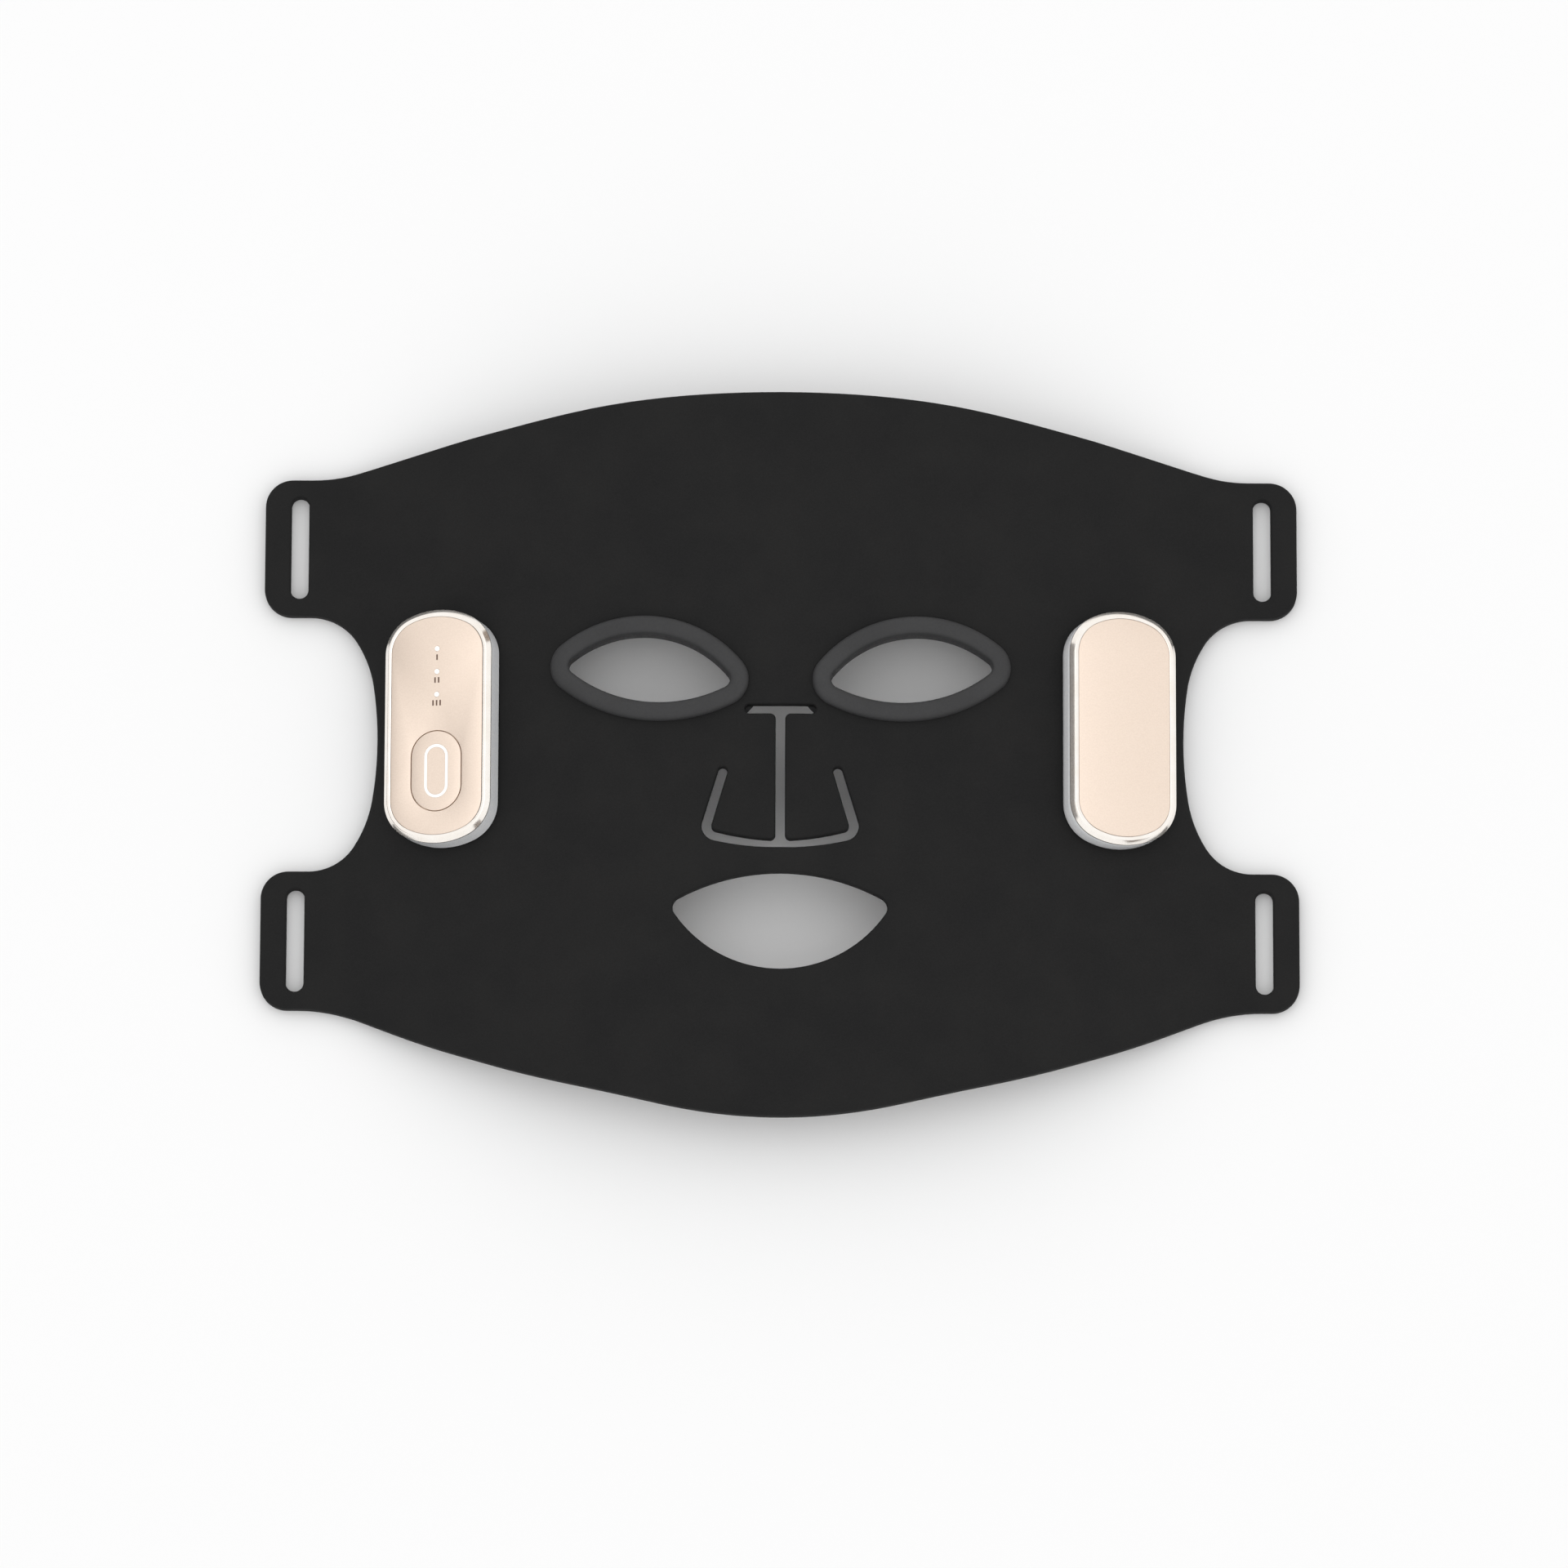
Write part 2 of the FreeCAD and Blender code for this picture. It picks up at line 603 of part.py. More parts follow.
def pod_holes(side):
    """Screw holes and ribbon slot through the skin, square to the temple."""
    cuts = []
    for x in (-1, 1):
        for y in (-1, 1):
            place = Vector(x * size("boss_x"), y * size("boss_y"), -3)
            cuts.append(Part.makeCylinder(size("screw_hole_radius"), 6, place))
    width = size("ribbon_width") + 2 * size("ribbon_slot")
    depth = size("ribbon_thickness") + 2 * size("ribbon_slot")
    cuts.append(Part.makeBox(width, depth, 6, Vector(-width / 2, -size("boss_y") - depth / 2, -3)))
    return [placed(cut, side) for cut in cuts]


PANELS = ["centre", "left_wing", "right_wing", "left_flap", "right_flap"]
SKIN_NAMES = {"centre": "front_skin_centre", "left_wing": "front_skin_left_wing",
              "right_wing": "front_skin_right_wing", "left_flap": "nose_flap_left",
              "right_flap": "nose_flap_right"}


def one_solid(shape):
    """The largest solid of a boolean's result, without leftover slivers."""
    return max(shape.Solids, key=lambda solid: solid.Volume)


def make_skins():
    """Front skins with a rim that closes the sheet at its edges."""
    depth = size("sheet_depth")
    skin = size("skin_depth")
    for name in PANELS:
        side = -1 if name.startswith("left") else 1
        whole = layer(name, 0, depth).common(zone(name, SKIN_PLAN))
        pocket_zone = zone(name, POCKET_PLAN)
        pocket_zone = pocket_zone.common(slab(-size("pocket_x"), size("pocket_x")))
        pocket = layer(name, skin, depth).common(pocket_zone)
        body = whole.cut(pocket)
        if name.endswith("wing"):
            body = body.cut(pod_holes(side))
        keep_shape(SKIN_NAMES[name], one_solid(body))


def inner_zone(name):
    reach = size("pocket_x") - size("layer_clearance")
    return zone(name, LAYER_PLAN).common(slab(-reach, reach))


def make_layers():
    """Flexible circuits and rear liners inside the rims."""
    liner_depth = size("sheet_depth") - LINER_START
    for name in PANELS:
        area = inner_zone(name)
        liner = layer(name, LINER_START, liner_depth).common(area)
        keep_shape("rear_liner_" + name, one_solid(liner))
        if name.endswith("wing"):
            side = -1 if name.startswith("left") else 1
            area = area.cut(clamp_window(side, size("clamp_clearance")))
        flex = layer(name, FLEX_START, size("flex_depth")).common(area)
        keep_shape("flex_circuit_" + name, one_solid(flex))


make_skins()
make_layers()


def make_cushions():
    """Soft eye cushions: front ring, waist through the sheet and rear flange in one moulding."""
    ring = size("cushion_width")
    clearance = size("cushion_clearance")
    depth = size("sheet_depth")
    for side, name in ((-1, "eye_cushion_left"), (1, "eye_cushion_right")):
        opening = eye_solid(side, 0, BOTTOM - 1, TOP + 1)
        rise = size("cushion_height") - clearance
        front = centre_layer(-size("cushion_height"), rise).common(eye_solid(side, ring, BOTTOM, TOP))
        flange_grow = ring + size("cushion_flange")
        rear = centre_layer(depth + clearance, size("flange_depth"))
        rear = rear.common(eye_solid(side, flange_grow, BOTTOM, TOP))
        waist = centre_layer(-clearance - 0.4, depth + 2 * clearance + 0.8)
        waist = waist.common(eye_solid(side, size("cushion_waist"), BOTTOM, TOP))
        body = waist.multiFuse([front, rear]).cut(opening)
        keep_shape(name, one_solid(body))


def surface_turn(x, y):
    """Rotation that stands a piece square on the sheet."""
    step = 0.5
    if abs(x) > size("fold_x"):
        return FreeCAD.Rotation(ALONG_Y, math.copysign(size("arch_slope"), x))
    slope_x = (top_height(x + step, y) - top_height(x - step, y)) / (2 * step)
    slope_y = (top_height(x, y + step) - top_height(x, y - step)) / (2 * step)
    return FreeCAD.Rotation(UP, Vector(-slope_x, -slope_y, 1))


def emitter(x, y):
    """One light emitter on the rear of the flexible circuit."""
    side = size("led_size")
    box = Part.makeBox(side, side, size("led_height"), Vector(-side / 2, -side / 2, -size("led_height")))
    place = Vector(x, y, top_height(x, y) - LED_START)
    box.Placement = FreeCAD.Placement(place, surface_turn(x, y))
    return box


def flap_grid(side):
    """Where emitters may stand on a nose flap: x, y and number of the row."""
    x, y, pitch = side * size("flap_led_x"), size("flap_led_y"), size("flap_led_pitch")
    return [(x, y + row * pitch, row) for row in range(-4, 2)]


def panel_grid():
    """Where emitters may stand on the large panels: x, y and a number that sets the colour."""
    pitch = size("led_pitch")
    reach = size("temple_end_x") - size("led_size")
    columns = int(reach / pitch)
    rows = int(size("brow_reach") / pitch) + 1
    grid = []
    for row in range(-rows, rows + 1):
        for column in range(-columns, columns + 1):
            x = column * pitch
            if abs(abs(x) - size("fold_x")) > size("led_fold_margin"):
                grid.append((x, row * pitch + TAB_MIDDLE, row + 2 * column))
    return grid


def emitter_area(name):
    """Prism in which the middle of an emitter may lie."""
    edge = size("rim_width") + size("layer_clearance")
    if name.endswith("flap"):
        return zone(name, panel_plan(edge + size("flap_led_margin")))
    area = zone(name, panel_plan(edge + size("led_margin")))
    if name == "centre":
        grow = size("cushion_width") + size("cushion_flange") + size("led_eye_margin")
        return area.cut([eye_solid(side, grow, BOTTOM - 1, TOP + 1) for side in (-1, 1)])
    side = -1 if name.startswith("left") else 1
    return area.cut(clamp_window(side, size("led_clamp_margin")))


def make_emitters():
    """Emitters on a grid over each panel, in three colours taken in turn; the flaps' are all red."""
    colours = ["red", "amber", "blue"]
    for name in PANELS:
        flap = name.endswith("flap")
        side = -1 if name.startswith("left") else 1
        area = emitter_area(name)
        grid = flap_grid(side) if flap else panel_grid()
        found = [(x, y, key) for x, y, key in grid if area.isInside(Vector(x, y, 0), 1e-3, True)]
        if flap:
            keep_shape("emitters_" + name, Part.makeCompound([emitter(x, y) for x, y, key in found]))
            continue
        for index, colour in enumerate(colours):
            boxes = [emitter(x, y) for x, y, key in found if key % len(colours) == index]
            keep_shape("emitters_%s_%s" % (colour, name), Part.makeCompound(boxes))


make_cushions()
make_emitters()


# ---------------------------------------------------------------- pods, drawn in their own frame
# Origin on the sheet's outer face at the pod's middle, +Z away from the face, +Y to the brow.

def origin_plane(body, role):
    return next(item for item in body.Origin.OriginFeatures if item.Role == role)


def new_body(label):
    body = document.addObject("PartDesign::Body", label)
    return keep(body, label)


def new_sketch(body, name, level, role="XY_Plane"):
    """Sketch on an origin plane of its own body, lifted by an expression."""
    sketch = body.newObject("Sketcher::SketchObject", name)
    sketch.AttachmentSupport = (origin_plane(body, role), [""])
    sketch.MapMode = "FlatFace"
    sketch.setExpression("AttachmentOffset.Base.z", level)
    return sketch


def dimension(sketch, kind, items, expression, value):
    """Driving constraint bound to the sheet of sizes."""
    index = sketch.addConstraint(Sketcher.Constraint(kind, *items, value))
    sketch.setExpression("Constraints[%d]" % index, expression)


def fix_point(sketch, geometry, position, x, y):
    """Hold a point by two expressions; None keeps it on that axis."""
    for kind, axis, expression in (("DistanceX", -2, x), ("DistanceY", -1, y)):
        if expression is None:
            sketch.addConstraint(Sketcher.Constraint("PointOnObject", geometry, position, axis))
            continue
        value = number(expression)
        if value >= 0:
            dimension(sketch, kind, (-1, 1, geometry, position), expression, value)
        else:
            dimension(sketch, kind, (geometry, position, -1, 1), "-(%s)" % expression, -value)


def arc(centre, radius, start, end):
    circle = Part.Circle(centre, UP, radius)
    return Part.ArcOfCircle(circle, math.radians(start), math.radians(end))


def add_circle(sketch, radius, x, y):
    value = number(radius)
    centre = Vector(number(x) if x else 0, number(y) if y else 0, 0)
    index = sketch.addGeometry(Part.Circle(centre, UP, value), False)
    dimension(sketch, "Radius", (index,), radius, value)
    fix_point(sketch, index, 3, x, y)


def add_rectangle(sketch, left, right, low, high):
    """Rectangle between four expressions."""
    x1, x2, y1, y2 = number(left), number(right), number(low), number(high)
    corners = [Vector(x1, y1, 0), Vector(x2, y1, 0), Vector(x2, y2, 0), Vector(x1, y2, 0)]
    lines = [Part.LineSegment(corners[i], corners[(i + 1) % 4]) for i in range(4)]
    first = sketch.addGeometry(lines, False)[0]
    for i in range(4):
        sketch.addConstraint(Sketcher.Constraint("Coincident", first + i, 2, first + (i + 1) % 4, 1))
        kind = "Vertical" if i % 2 else "Horizontal"
        sketch.addConstraint(Sketcher.Constraint(kind, first + i))
    fix_point(sketch, first, 1, left, low)
    fix_point(sketch, first + 2, 1, right, high)


def add_stadium(sketch, width, length, y=None):
    """Slot with round ends along Y, on the pod's centre line."""
    radius = number(width) / 2
    half = (number(length) - number(width)) / 2
    middle = number(y) if y else 0
    shift = y if y else "0"
    geometry = [
        arc(Vector(0, middle + half, 0), radius, 0, 180),
        Part.LineSegment(Vector(-radius, middle + half, 0), Vector(-radius, middle - half, 0)),
        arc(Vector(0, middle - half, 0), radius, 180, 360),
        Part.LineSegment(Vector(radius, middle - half, 0), Vector(radius, middle + half, 0)),
    ]
    first = sketch.addGeometry(geometry, False)[0]
    for i in range(4):
        following = first + (i + 1) % 4
        sketch.addConstraint(Sketcher.Constraint("Tangent", first + i, 2, following, 1))
    dimension(sketch, "Radius", (first,), "(%s) / 2" % width, radius)
    sketch.addConstraint(Sketcher.Constraint("Equal", first, first + 2))
    reach = "((%s) - (%s)) / 2" % (length, width)
    fix_point(sketch, first, 3, None, "%s + %s" % (shift, reach))
    fix_point(sketch, first + 2, 3, None, "%s - %s" % (shift, reach))


def add_pod_outline(sketch, inset):
    """Outline of a pod moved in by inset: straight sides, rounded corners, domed ends."""
    half_width = "(Sizes.pod_width / 2 - (%s))" % inset
    end_radius = "(Sizes.pod_end_radius - (%s))" % inset
    corner_radius = "(Sizes.pod_corner_radius - (%s))" % inset
    end_centre = "(Sizes.pod_length / 2 - Sizes.pod_end_radius)"
    width, big, small = number(half_width), number(end_radius), number(corner_radius)
    centre = number(end_centre)
    turn = math.degrees(math.asin((width - small) / (big - small)))
    side = centre + (big - small) * math.cos(math.radians(turn))
    corner_x = width - small
    geometry = [
        arc(Vector(0, centre, 0), big, 90 - turn, 90 + turn),
        arc(Vector(-corner_x, side, 0), small, 90 + turn, 180),
        Part.LineSegment(Vector(-width, side, 0), Vector(-width, -side, 0)),
        arc(Vector(-corner_x, -side, 0), small, 180, 270 - turn),
        arc(Vector(0, -centre, 0), big, 270 - turn, 270 + turn),
        arc(Vector(corner_x, -side, 0), small, 270 + turn, 360),
        Part.LineSegment(Vector(width, -side, 0), Vector(width, side, 0)),
        arc(Vector(corner_x, side, 0), small, 0, 90 - turn),
    ]
    first = sketch.addGeometry(geometry, False)[0]
    for i in range(8):
        following = first + (i + 1) % 8
        sketch.addConstraint(Sketcher.Constraint("Tangent", first + i, 2, following, 1))
    for line in (2, 6):
        sketch.addConstraint(Sketcher.Constraint("Vertical", first + line))
    for other in (3, 5, 7):
        sketch.addConstraint(Sketcher.Constraint("Equal", first + 1, first + other))
    sketch.addConstraint(Sketcher.Constraint("Equal", first, first + 4))
    dimension(sketch, "Radius", (first,), end_radius, big)
    dimension(sketch, "Radius", (first + 1,), corner_radius, small)
    dimension(sketch, "DistanceX", (first + 2, 1, -1, 1), half_width, width)
    dimension(sketch, "DistanceX", (-1, 1, first + 6, 1), half_width, width)
    fix_point(sketch, first, 3, None, end_centre)
    fix_point(sketch, first + 4, 3, None, "-" + end_centre)


def pad(body, name, sketch, length):
    feature = body.newObject("PartDesign::Pad", name)
    feature.Profile = sketch
    feature.setExpression("Length", length)
    return feature


def pocket(body, name, sketch, length):
    """Cut downwards from a sketch; the cut has to take material away."""
    document.recompute()
    before = body.Shape.Volume
    feature = body.newObject("PartDesign::Pocket", name)
    feature.Profile = sketch
    feature.setExpression("Length", length)
    document.recompute()
    if body.Shape.Volume >= before:
        raise ValueError("%s cuts nothing from %s" % (name, body.Label))
    return feature


def four_bosses(sketch, radius):
    for x in ("-Sizes.boss_x", "Sizes.boss_x"):
        for y in ("-Sizes.boss_y", "Sizes.boss_y"):
            add_circle(sketch, radius, x, y)


def ribbon_slot(sketch):
    half_width = "Sizes.ribbon_width / 2 + Sizes.ribbon_slot"
    half_depth = "(Sizes.ribbon_thickness / 2 + Sizes.ribbon_slot)"
    add_rectangle(sketch, "-(%s)" % half_width, half_width,
                  "-Sizes.boss_y - " + half_depth, "-Sizes.boss_y + " + half_depth)


FLOOR_TOP = "Sizes.gasket_height + Sizes.pod_floor"
PORT_MOUTH = "Sizes.pod_length / 2 - Sizes.port_recess"
PORT_BACK = PORT_MOUTH + " - Sizes.port_length"


def make_housing(label, side):
    """Tub of a pod: floor, side wall and four screw bosses."""
    body = new_body(label)
    outline = new_sketch(body, "Outline", "Sizes.gasket_height")
    add_pod_outline(outline, "0")
    pad(body, "Block", outline, "(Sizes.pod_height - Sizes.bezel_height) - Sizes.gasket_height")
    inside = new_sketch(body, "Inside", "(Sizes.pod_height - Sizes.bezel_height)")
    add_pod_outline(inside, "Sizes.pod_wall")
    pocket(body, "Cavity", inside, "(Sizes.pod_height - Sizes.bezel_height) - (%s)" % FLOOR_TOP)
    bosses = new_sketch(body, "BossPlan", "Sizes.gasket_height")
    four_bosses(bosses, "Sizes.boss_radius")
    pad(body, "Bosses", bosses, "Sizes.boss_top - Sizes.gasket_height")
    holes = new_sketch(body, "HolePlan", "Sizes.boss_top")
    four_bosses(holes, "Sizes.screw_radius + Sizes.screw_clearance")
    pocket(body, "Holes", holes, "Sizes.boss_top")
    slot = new_sketch(body, "RibbonPlan", FLOOR_TOP)
    ribbon_slot(slot)
    pocket(body, "RibbonSlot", slot, "Sizes.pod_floor")
    body.Placement = pod_place(side)
    return body


def make_bezel(label, side):
    """Bright frame round the face plate, chamfered outside, with a ledge inside."""
    body = new_body(label)
    base = "(Sizes.pod_height - Sizes.bezel_height) + Sizes.part_gap"
    outline = new_sketch(body, "Outline", base)
    add_pod_outline(outline, "0")
    frame = pad(body, "Frame", outline, "Sizes.pod_height - (%s)" % base)
    document.recompute()
    top = number("Sizes.pod_height")
    rim = ["Edge%d" % (i + 1) for i, edge in enumerate(frame.Shape.Edges)
           if edge.BoundBox.ZMin > top - 1e-4]
    chamfer = body.newObject("PartDesign::Chamfer", "Chamfer")
    chamfer.Base = (frame, rim)
    chamfer.setExpression("Size", "Sizes.bezel_chamfer")
    opening = new_sketch(body, "Opening", "Sizes.pod_height")
    add_pod_outline(opening, "Sizes.bezel_land + Sizes.bezel_ledge")
    pocket(body, "Window", opening, "Sizes.pod_height")
    seat = new_sketch(body, "Seat", "Sizes.pod_height")
    add_pod_outline(seat, "Sizes.bezel_land")
    pocket(body, "Ledge", seat, "Sizes.face_plate + Sizes.part_gap")
    body.Placement = pod_place(side)
    return body


def make_face_plate(label, side):
    """Satin face of a pod; the control pod's has a button opening and three light holes."""
    body = new_body(label)
    outline = new_sketch(body, "Outline", "Sizes.pod_height - Sizes.face_plate")
    add_pod_outline(outline, "Sizes.bezel_land + Sizes.part_gap")
    pad(body, "Plate", outline, "Sizes.face_plate")
    if side < 0:
        opening = new_sketch(body, "ButtonOpening", "Sizes.pod_height")
        add_stadium(opening, "Sizes.button_width", "Sizes.button_length", "Sizes.button_y")
        pocket(body, "ButtonHole", opening, "Sizes.face_plate")
        lights = new_sketch(body, "LightPlan", "Sizes.pod_height")
        for index in range(3):
            place = "Sizes.mode_first_y - %d * Sizes.mode_pitch" % index
            add_circle(lights, "Sizes.mode_radius + Sizes.part_gap", None, place)
        pocket(body, "LightHoles", lights, "Sizes.face_plate")
    body.Placement = pod_place(side)
    return body


def make_button():
    """Button cap with its retaining flange, the light ring let into it and the switch plunger."""
    cap = new_body("button_cap")
    under = "Sizes.pod_height - Sizes.face_plate - Sizes.flange_clearance"
    flange = new_sketch(cap, "FlangePlan", under + " - Sizes.flange_height")
    wide = "Sizes.button_width + 2 * Sizes.button_flange"
    long = "Sizes.button_length + 2 * Sizes.button_flange"
    add_stadium(flange, wide, long, "Sizes.button_y")
    pad(cap, "Flange", flange, "Sizes.flange_height")
    crown = new_sketch(cap, "CapPlan", under + " - Sizes.flange_height / 2")
    add_stadium(crown, "Sizes.button_width - 2 * Sizes.button_gap",
                "Sizes.button_length - 2 * Sizes.button_gap", "Sizes.button_y")
    pad(cap, "Cap", crown, "Sizes.face_plate + Sizes.flange_clearance + Sizes.flange_height / 2")
    groove = new_sketch(cap, "GroovePlan", "Sizes.pod_height")
    inner_width = "Sizes.ring_width - 2 * Sizes.ring_line"
    inner_length = "Sizes.ring_length - 2 * Sizes.ring_line"
    add_stadium(groove, "Sizes.ring_width", "Sizes.ring_length", "Sizes.button_y")
    add_stadium(groove, inner_width, inner_length, "Sizes.button_y")
    pocket(cap, "Groove", groove, "Sizes.ring_depth")
    cap.Placement = pod_place(-1)

    ring = new_body("button_light_ring")
    plan = new_sketch(ring, "RingPlan", "Sizes.pod_height - Sizes.ring_depth")
    trim = "2 * Sizes.part_gap"
    add_stadium(plan, "Sizes.ring_width - " + trim, "Sizes.ring_length - " + trim, "Sizes.button_y")
    add_stadium(plan, "%s + %s" % (inner_width, trim), "%s + %s" % (inner_length, trim), "Sizes.button_y")
    pad(ring, "Ring", plan, "Sizes.ring_depth")
    ring.Placement = pod_place(-1)

    plunger = new_body("switch_plunger")
    board_top = "Sizes.boss_top + Sizes.board_thickness"
    start = board_top + " + Sizes.switch_height - Sizes.plunger_reach"
    plan = new_sketch(plunger, "PlungerPlan", start)
    add_circle(plan, "Sizes.plunger_radius", None, "Sizes.button_y")
    pad(plunger, "Plunger", plan, "%s - Sizes.flange_height - (%s)" % (under, start))
    plunger.Placement = pod_place(-1)


def make_mode_lights():
    """Three light pipes, the chips under them and the printed marks beside them."""
    board_top = number("Sizes.boss_top + Sizes.board_thickness")
    start = board_top + size("light_chip_height") + size("pipe_gap")
    length, width = size("light_chip_length"), size("light_chip_width")
    pipes, chips, marks = [], [], []
    top = size("pod_height")
    for index in range(3):
        y = size("mode_first_y") - index * size("mode_pitch")
        pipes.append(Part.makeCylinder(size("mode_radius"), top - start, Vector(0, y, start)))
        corner = Vector(-length / 2, y - width / 2, board_top)
        chips.append(Part.makeBox(length, width, size("light_chip_height"), corner))
        for tally in range(index + 1):
            x = (tally - index / 2) * size("mark_pitch")
            corner = Vector(x - size("mark_width") / 2, y - size("mark_drop") - size("mark_height") / 2, top)
            bar_size = (size("mark_width"), size("mark_height"), size("mark_thickness"))
            marks.append(Part.makeBox(*bar_size, corner))
    for label, solids in (("mode_light_pipes", pipes), ("mode_light_chips", chips), ("mode_marks", marks)):
        keep_shape(label, Part.makeCompound(solids)).Placement = pod_place(-1)


def make_block(label, side, corner, lengths):
    """Plain block of a pod, placed by its low corner in the pod's frame."""
    block = document.addObject("Part::Box", label)
    for name, expression in zip(("Length", "Width", "Height"), lengths):
        block.setExpression(name, expression)
    block.Placement = pod_place(side).multiply(FreeCAD.Placement(corner, FreeCAD.Rotation()))
    return keep(block, label)


def make_board():
    """Control board with its switch, controller and charging inlet."""
    board = new_body("control_board")
    plan = new_sketch(board, "BoardPlan", "Sizes.boss_top")
    add_rectangle(plan, "-Sizes.board_width / 2", "Sizes.board_width / 2",
                  "Sizes.board_rear_y", PORT_BACK + " - Sizes.board_gap")
    blank = pad(board, "Board", plan, "Sizes.board_thickness")
    document.recompute()
    upright_edges = ["Edge%d" % (i + 1) for i, edge in enumerate(blank.Shape.Edges)
                     if abs(edge.tangentAt(edge.FirstParameter).z) > 0.99]
    fillet = board.newObject("PartDesign::Fillet", "Corners")
    fillet.Base = (blank, upright_edges)
    fillet.setExpression("Radius", "Sizes.board_corner")
    board.Placement = pod_place(-1)

    board_top = "Sizes.boss_top + Sizes.board_thickness"
    switch = new_body("tact_switch")
    plan = new_sketch(switch, "SwitchPlan", board_top)
    half = "Sizes.switch_size / 2"
    add_rectangle(plan, "-" + half, half, "Sizes.button_y - " + half, "Sizes.button_y + " + half)
    pad(switch, "Case", plan, "Sizes.switch_height")
    bore = new_sketch(switch, "BorePlan", board_top + " + Sizes.switch_height")
    add_circle(bore, "Sizes.plunger_radius + Sizes.plunger_clearance", None, "Sizes.button_y")
    pocket(switch, "Bore", bore, "Sizes.plunger_reach + Sizes.button_travel + Sizes.plunger_clearance")
    switch.Placement = pod_place(-1)

    half = size("chip_size") / 2
    corner = Vector(size("chip_x") - half, size("chip_y") - half, number(board_top))
    make_block("controller_chip", -1, corner, ("Sizes.chip_size", "Sizes.chip_size", "Sizes.chip_height"))


def make_port():
    """Charging inlet on the pod's brow end: metal shell and contact tongue."""
    width, height = size("port_width"), size("port_height")
    wall = size("port_wall")
    level = size("port_level")
    mouth = number(PORT_MOUTH)
    length = size("port_length")

    def tube(inset):
        half = (width - height) / 2
        radius = height / 2 - inset
        box = Part.makeBox(2 * half, length, 2 * radius, Vector(-half, mouth - length, level - radius))
        ends = [Part.makeCylinder(radius, length, Vector(x, mouth - length, level), ALONG_Y)
                for x in (-half, half)]
        return box.multiFuse(ends).removeSplitter()

    hollow = tube(wall)
    hollow.translate(ALONG_Y * size("port_back"))
    keep_shape("charge_port_shell", one_solid(tube(0).cut(hollow))).Placement = pod_place(-1)
    back = size("port_back")
    reach = length - back - size("tongue_recess")
    tongue_width, thickness = size("tongue_width"), size("tongue_thickness")
    corner = Vector(-tongue_width / 2, mouth - length + back, level - thickness / 2)
    tongue = Part.makeBox(tongue_width, reach, thickness, corner)
    keep_shape("charge_port_tongue", tongue).Placement = pod_place(-1)


def cut_port_slot(housing):
    """Slot for the inlet through the brow end of the control pod."""
    behind_wall = "Sizes.pod_wall * 3"
    slot = new_sketch(housing, "PortPlan", "-(Sizes.pod_length / 2 - %s)" % behind_wall, "XZ_Plane")
    half = (size("port_width") - size("port_height")) / 2
    opening = "Sizes.port_height / 2 + Sizes.port_clearance"
    radius = number(opening)
    level = size("port_level")
    geometry = [
        arc(Vector(half, level, 0), radius, -90, 90),
        Part.LineSegment(Vector(half, level + radius, 0), Vector(-half, level + radius, 0)),
        arc(Vector(-half, level, 0), radius, 90, 270),
        Part.LineSegment(Vector(-half, level - radius, 0), Vector(half, level - radius, 0)),
    ]
    first = slot.addGeometry(geometry, False)[0]
    for i in range(4):
        slot.addConstraint(Sketcher.Constraint("Tangent", first + i, 2, first + (i + 1) % 4, 1))
    dimension(slot, "Radius", (first,), opening, radius)
    slot.addConstraint(Sketcher.Constraint("Equal", first, first + 2))
    reach = "(Sizes.port_width - Sizes.port_height) / 2"
    fix_point(slot, first, 3, reach, "Sizes.port_level")
    fix_point(slot, first + 2, 3, "-" + reach, "Sizes.port_level")
    pocket(housing, "PortSlot", slot, "Sizes.pod_wall * 4")


def make_battery():
    """Flat rechargeable cell, its protection board and the foam that holds it down."""
    cell = new_body("battery_cell")
    floor = FLOOR_TOP + " + Sizes.part_gap"
    plan = new_sketch(cell, "CellPlan", floor)
    add_rectangle(plan, "-Sizes.cell_width / 2", "Sizes.cell_width / 2",
                  "-Sizes.cell_length / 2", "Sizes.cell_length / 2")
    pouch = pad(cell, "Pouch", plan, "Sizes.cell_height")
    document.recompute()
    long_edges = ["Edge%d" % (i + 1) for i, edge in enumerate(pouch.Shape.Edges)
                  if abs(edge.tangentAt(edge.FirstParameter).y) > 0.99]
    fillet = cell.newObject("PartDesign::Fillet", "Edges")
    fillet.Base = (pouch, long_edges)
    fillet.setExpression("Radius", "Sizes.cell_edge")
    cell.Placement = pod_place(1)

    foam = new_body("battery_foam_pad")
    top = "%s + Sizes.cell_height + Sizes.part_gap" % floor
    plan = new_sketch(foam, "FoamPlan", top)
    half_width = "Sizes.cell_width / 2 - Sizes.foam_margin"
    half_length = "Sizes.cell_length / 2 - Sizes.foam_margin"
    add_rectangle(plan, "-(%s)" % half_width, half_width, "-(%s)" % half_length, half_length)
    pad(foam, "Foam", plan, "Sizes.pod_height - Sizes.face_plate - Sizes.part_gap - (%s)" % top)
    foam.Placement = pod_place(1)

    front = size("cell_length") / 2 + size("protection_gap")
    corner = Vector(-size("protection_length") / 2, front, number(floor))
    make_block("protection_board", 1, corner,
               ("Sizes.protection_length", "Sizes.protection_width", "Sizes.protection_height"))


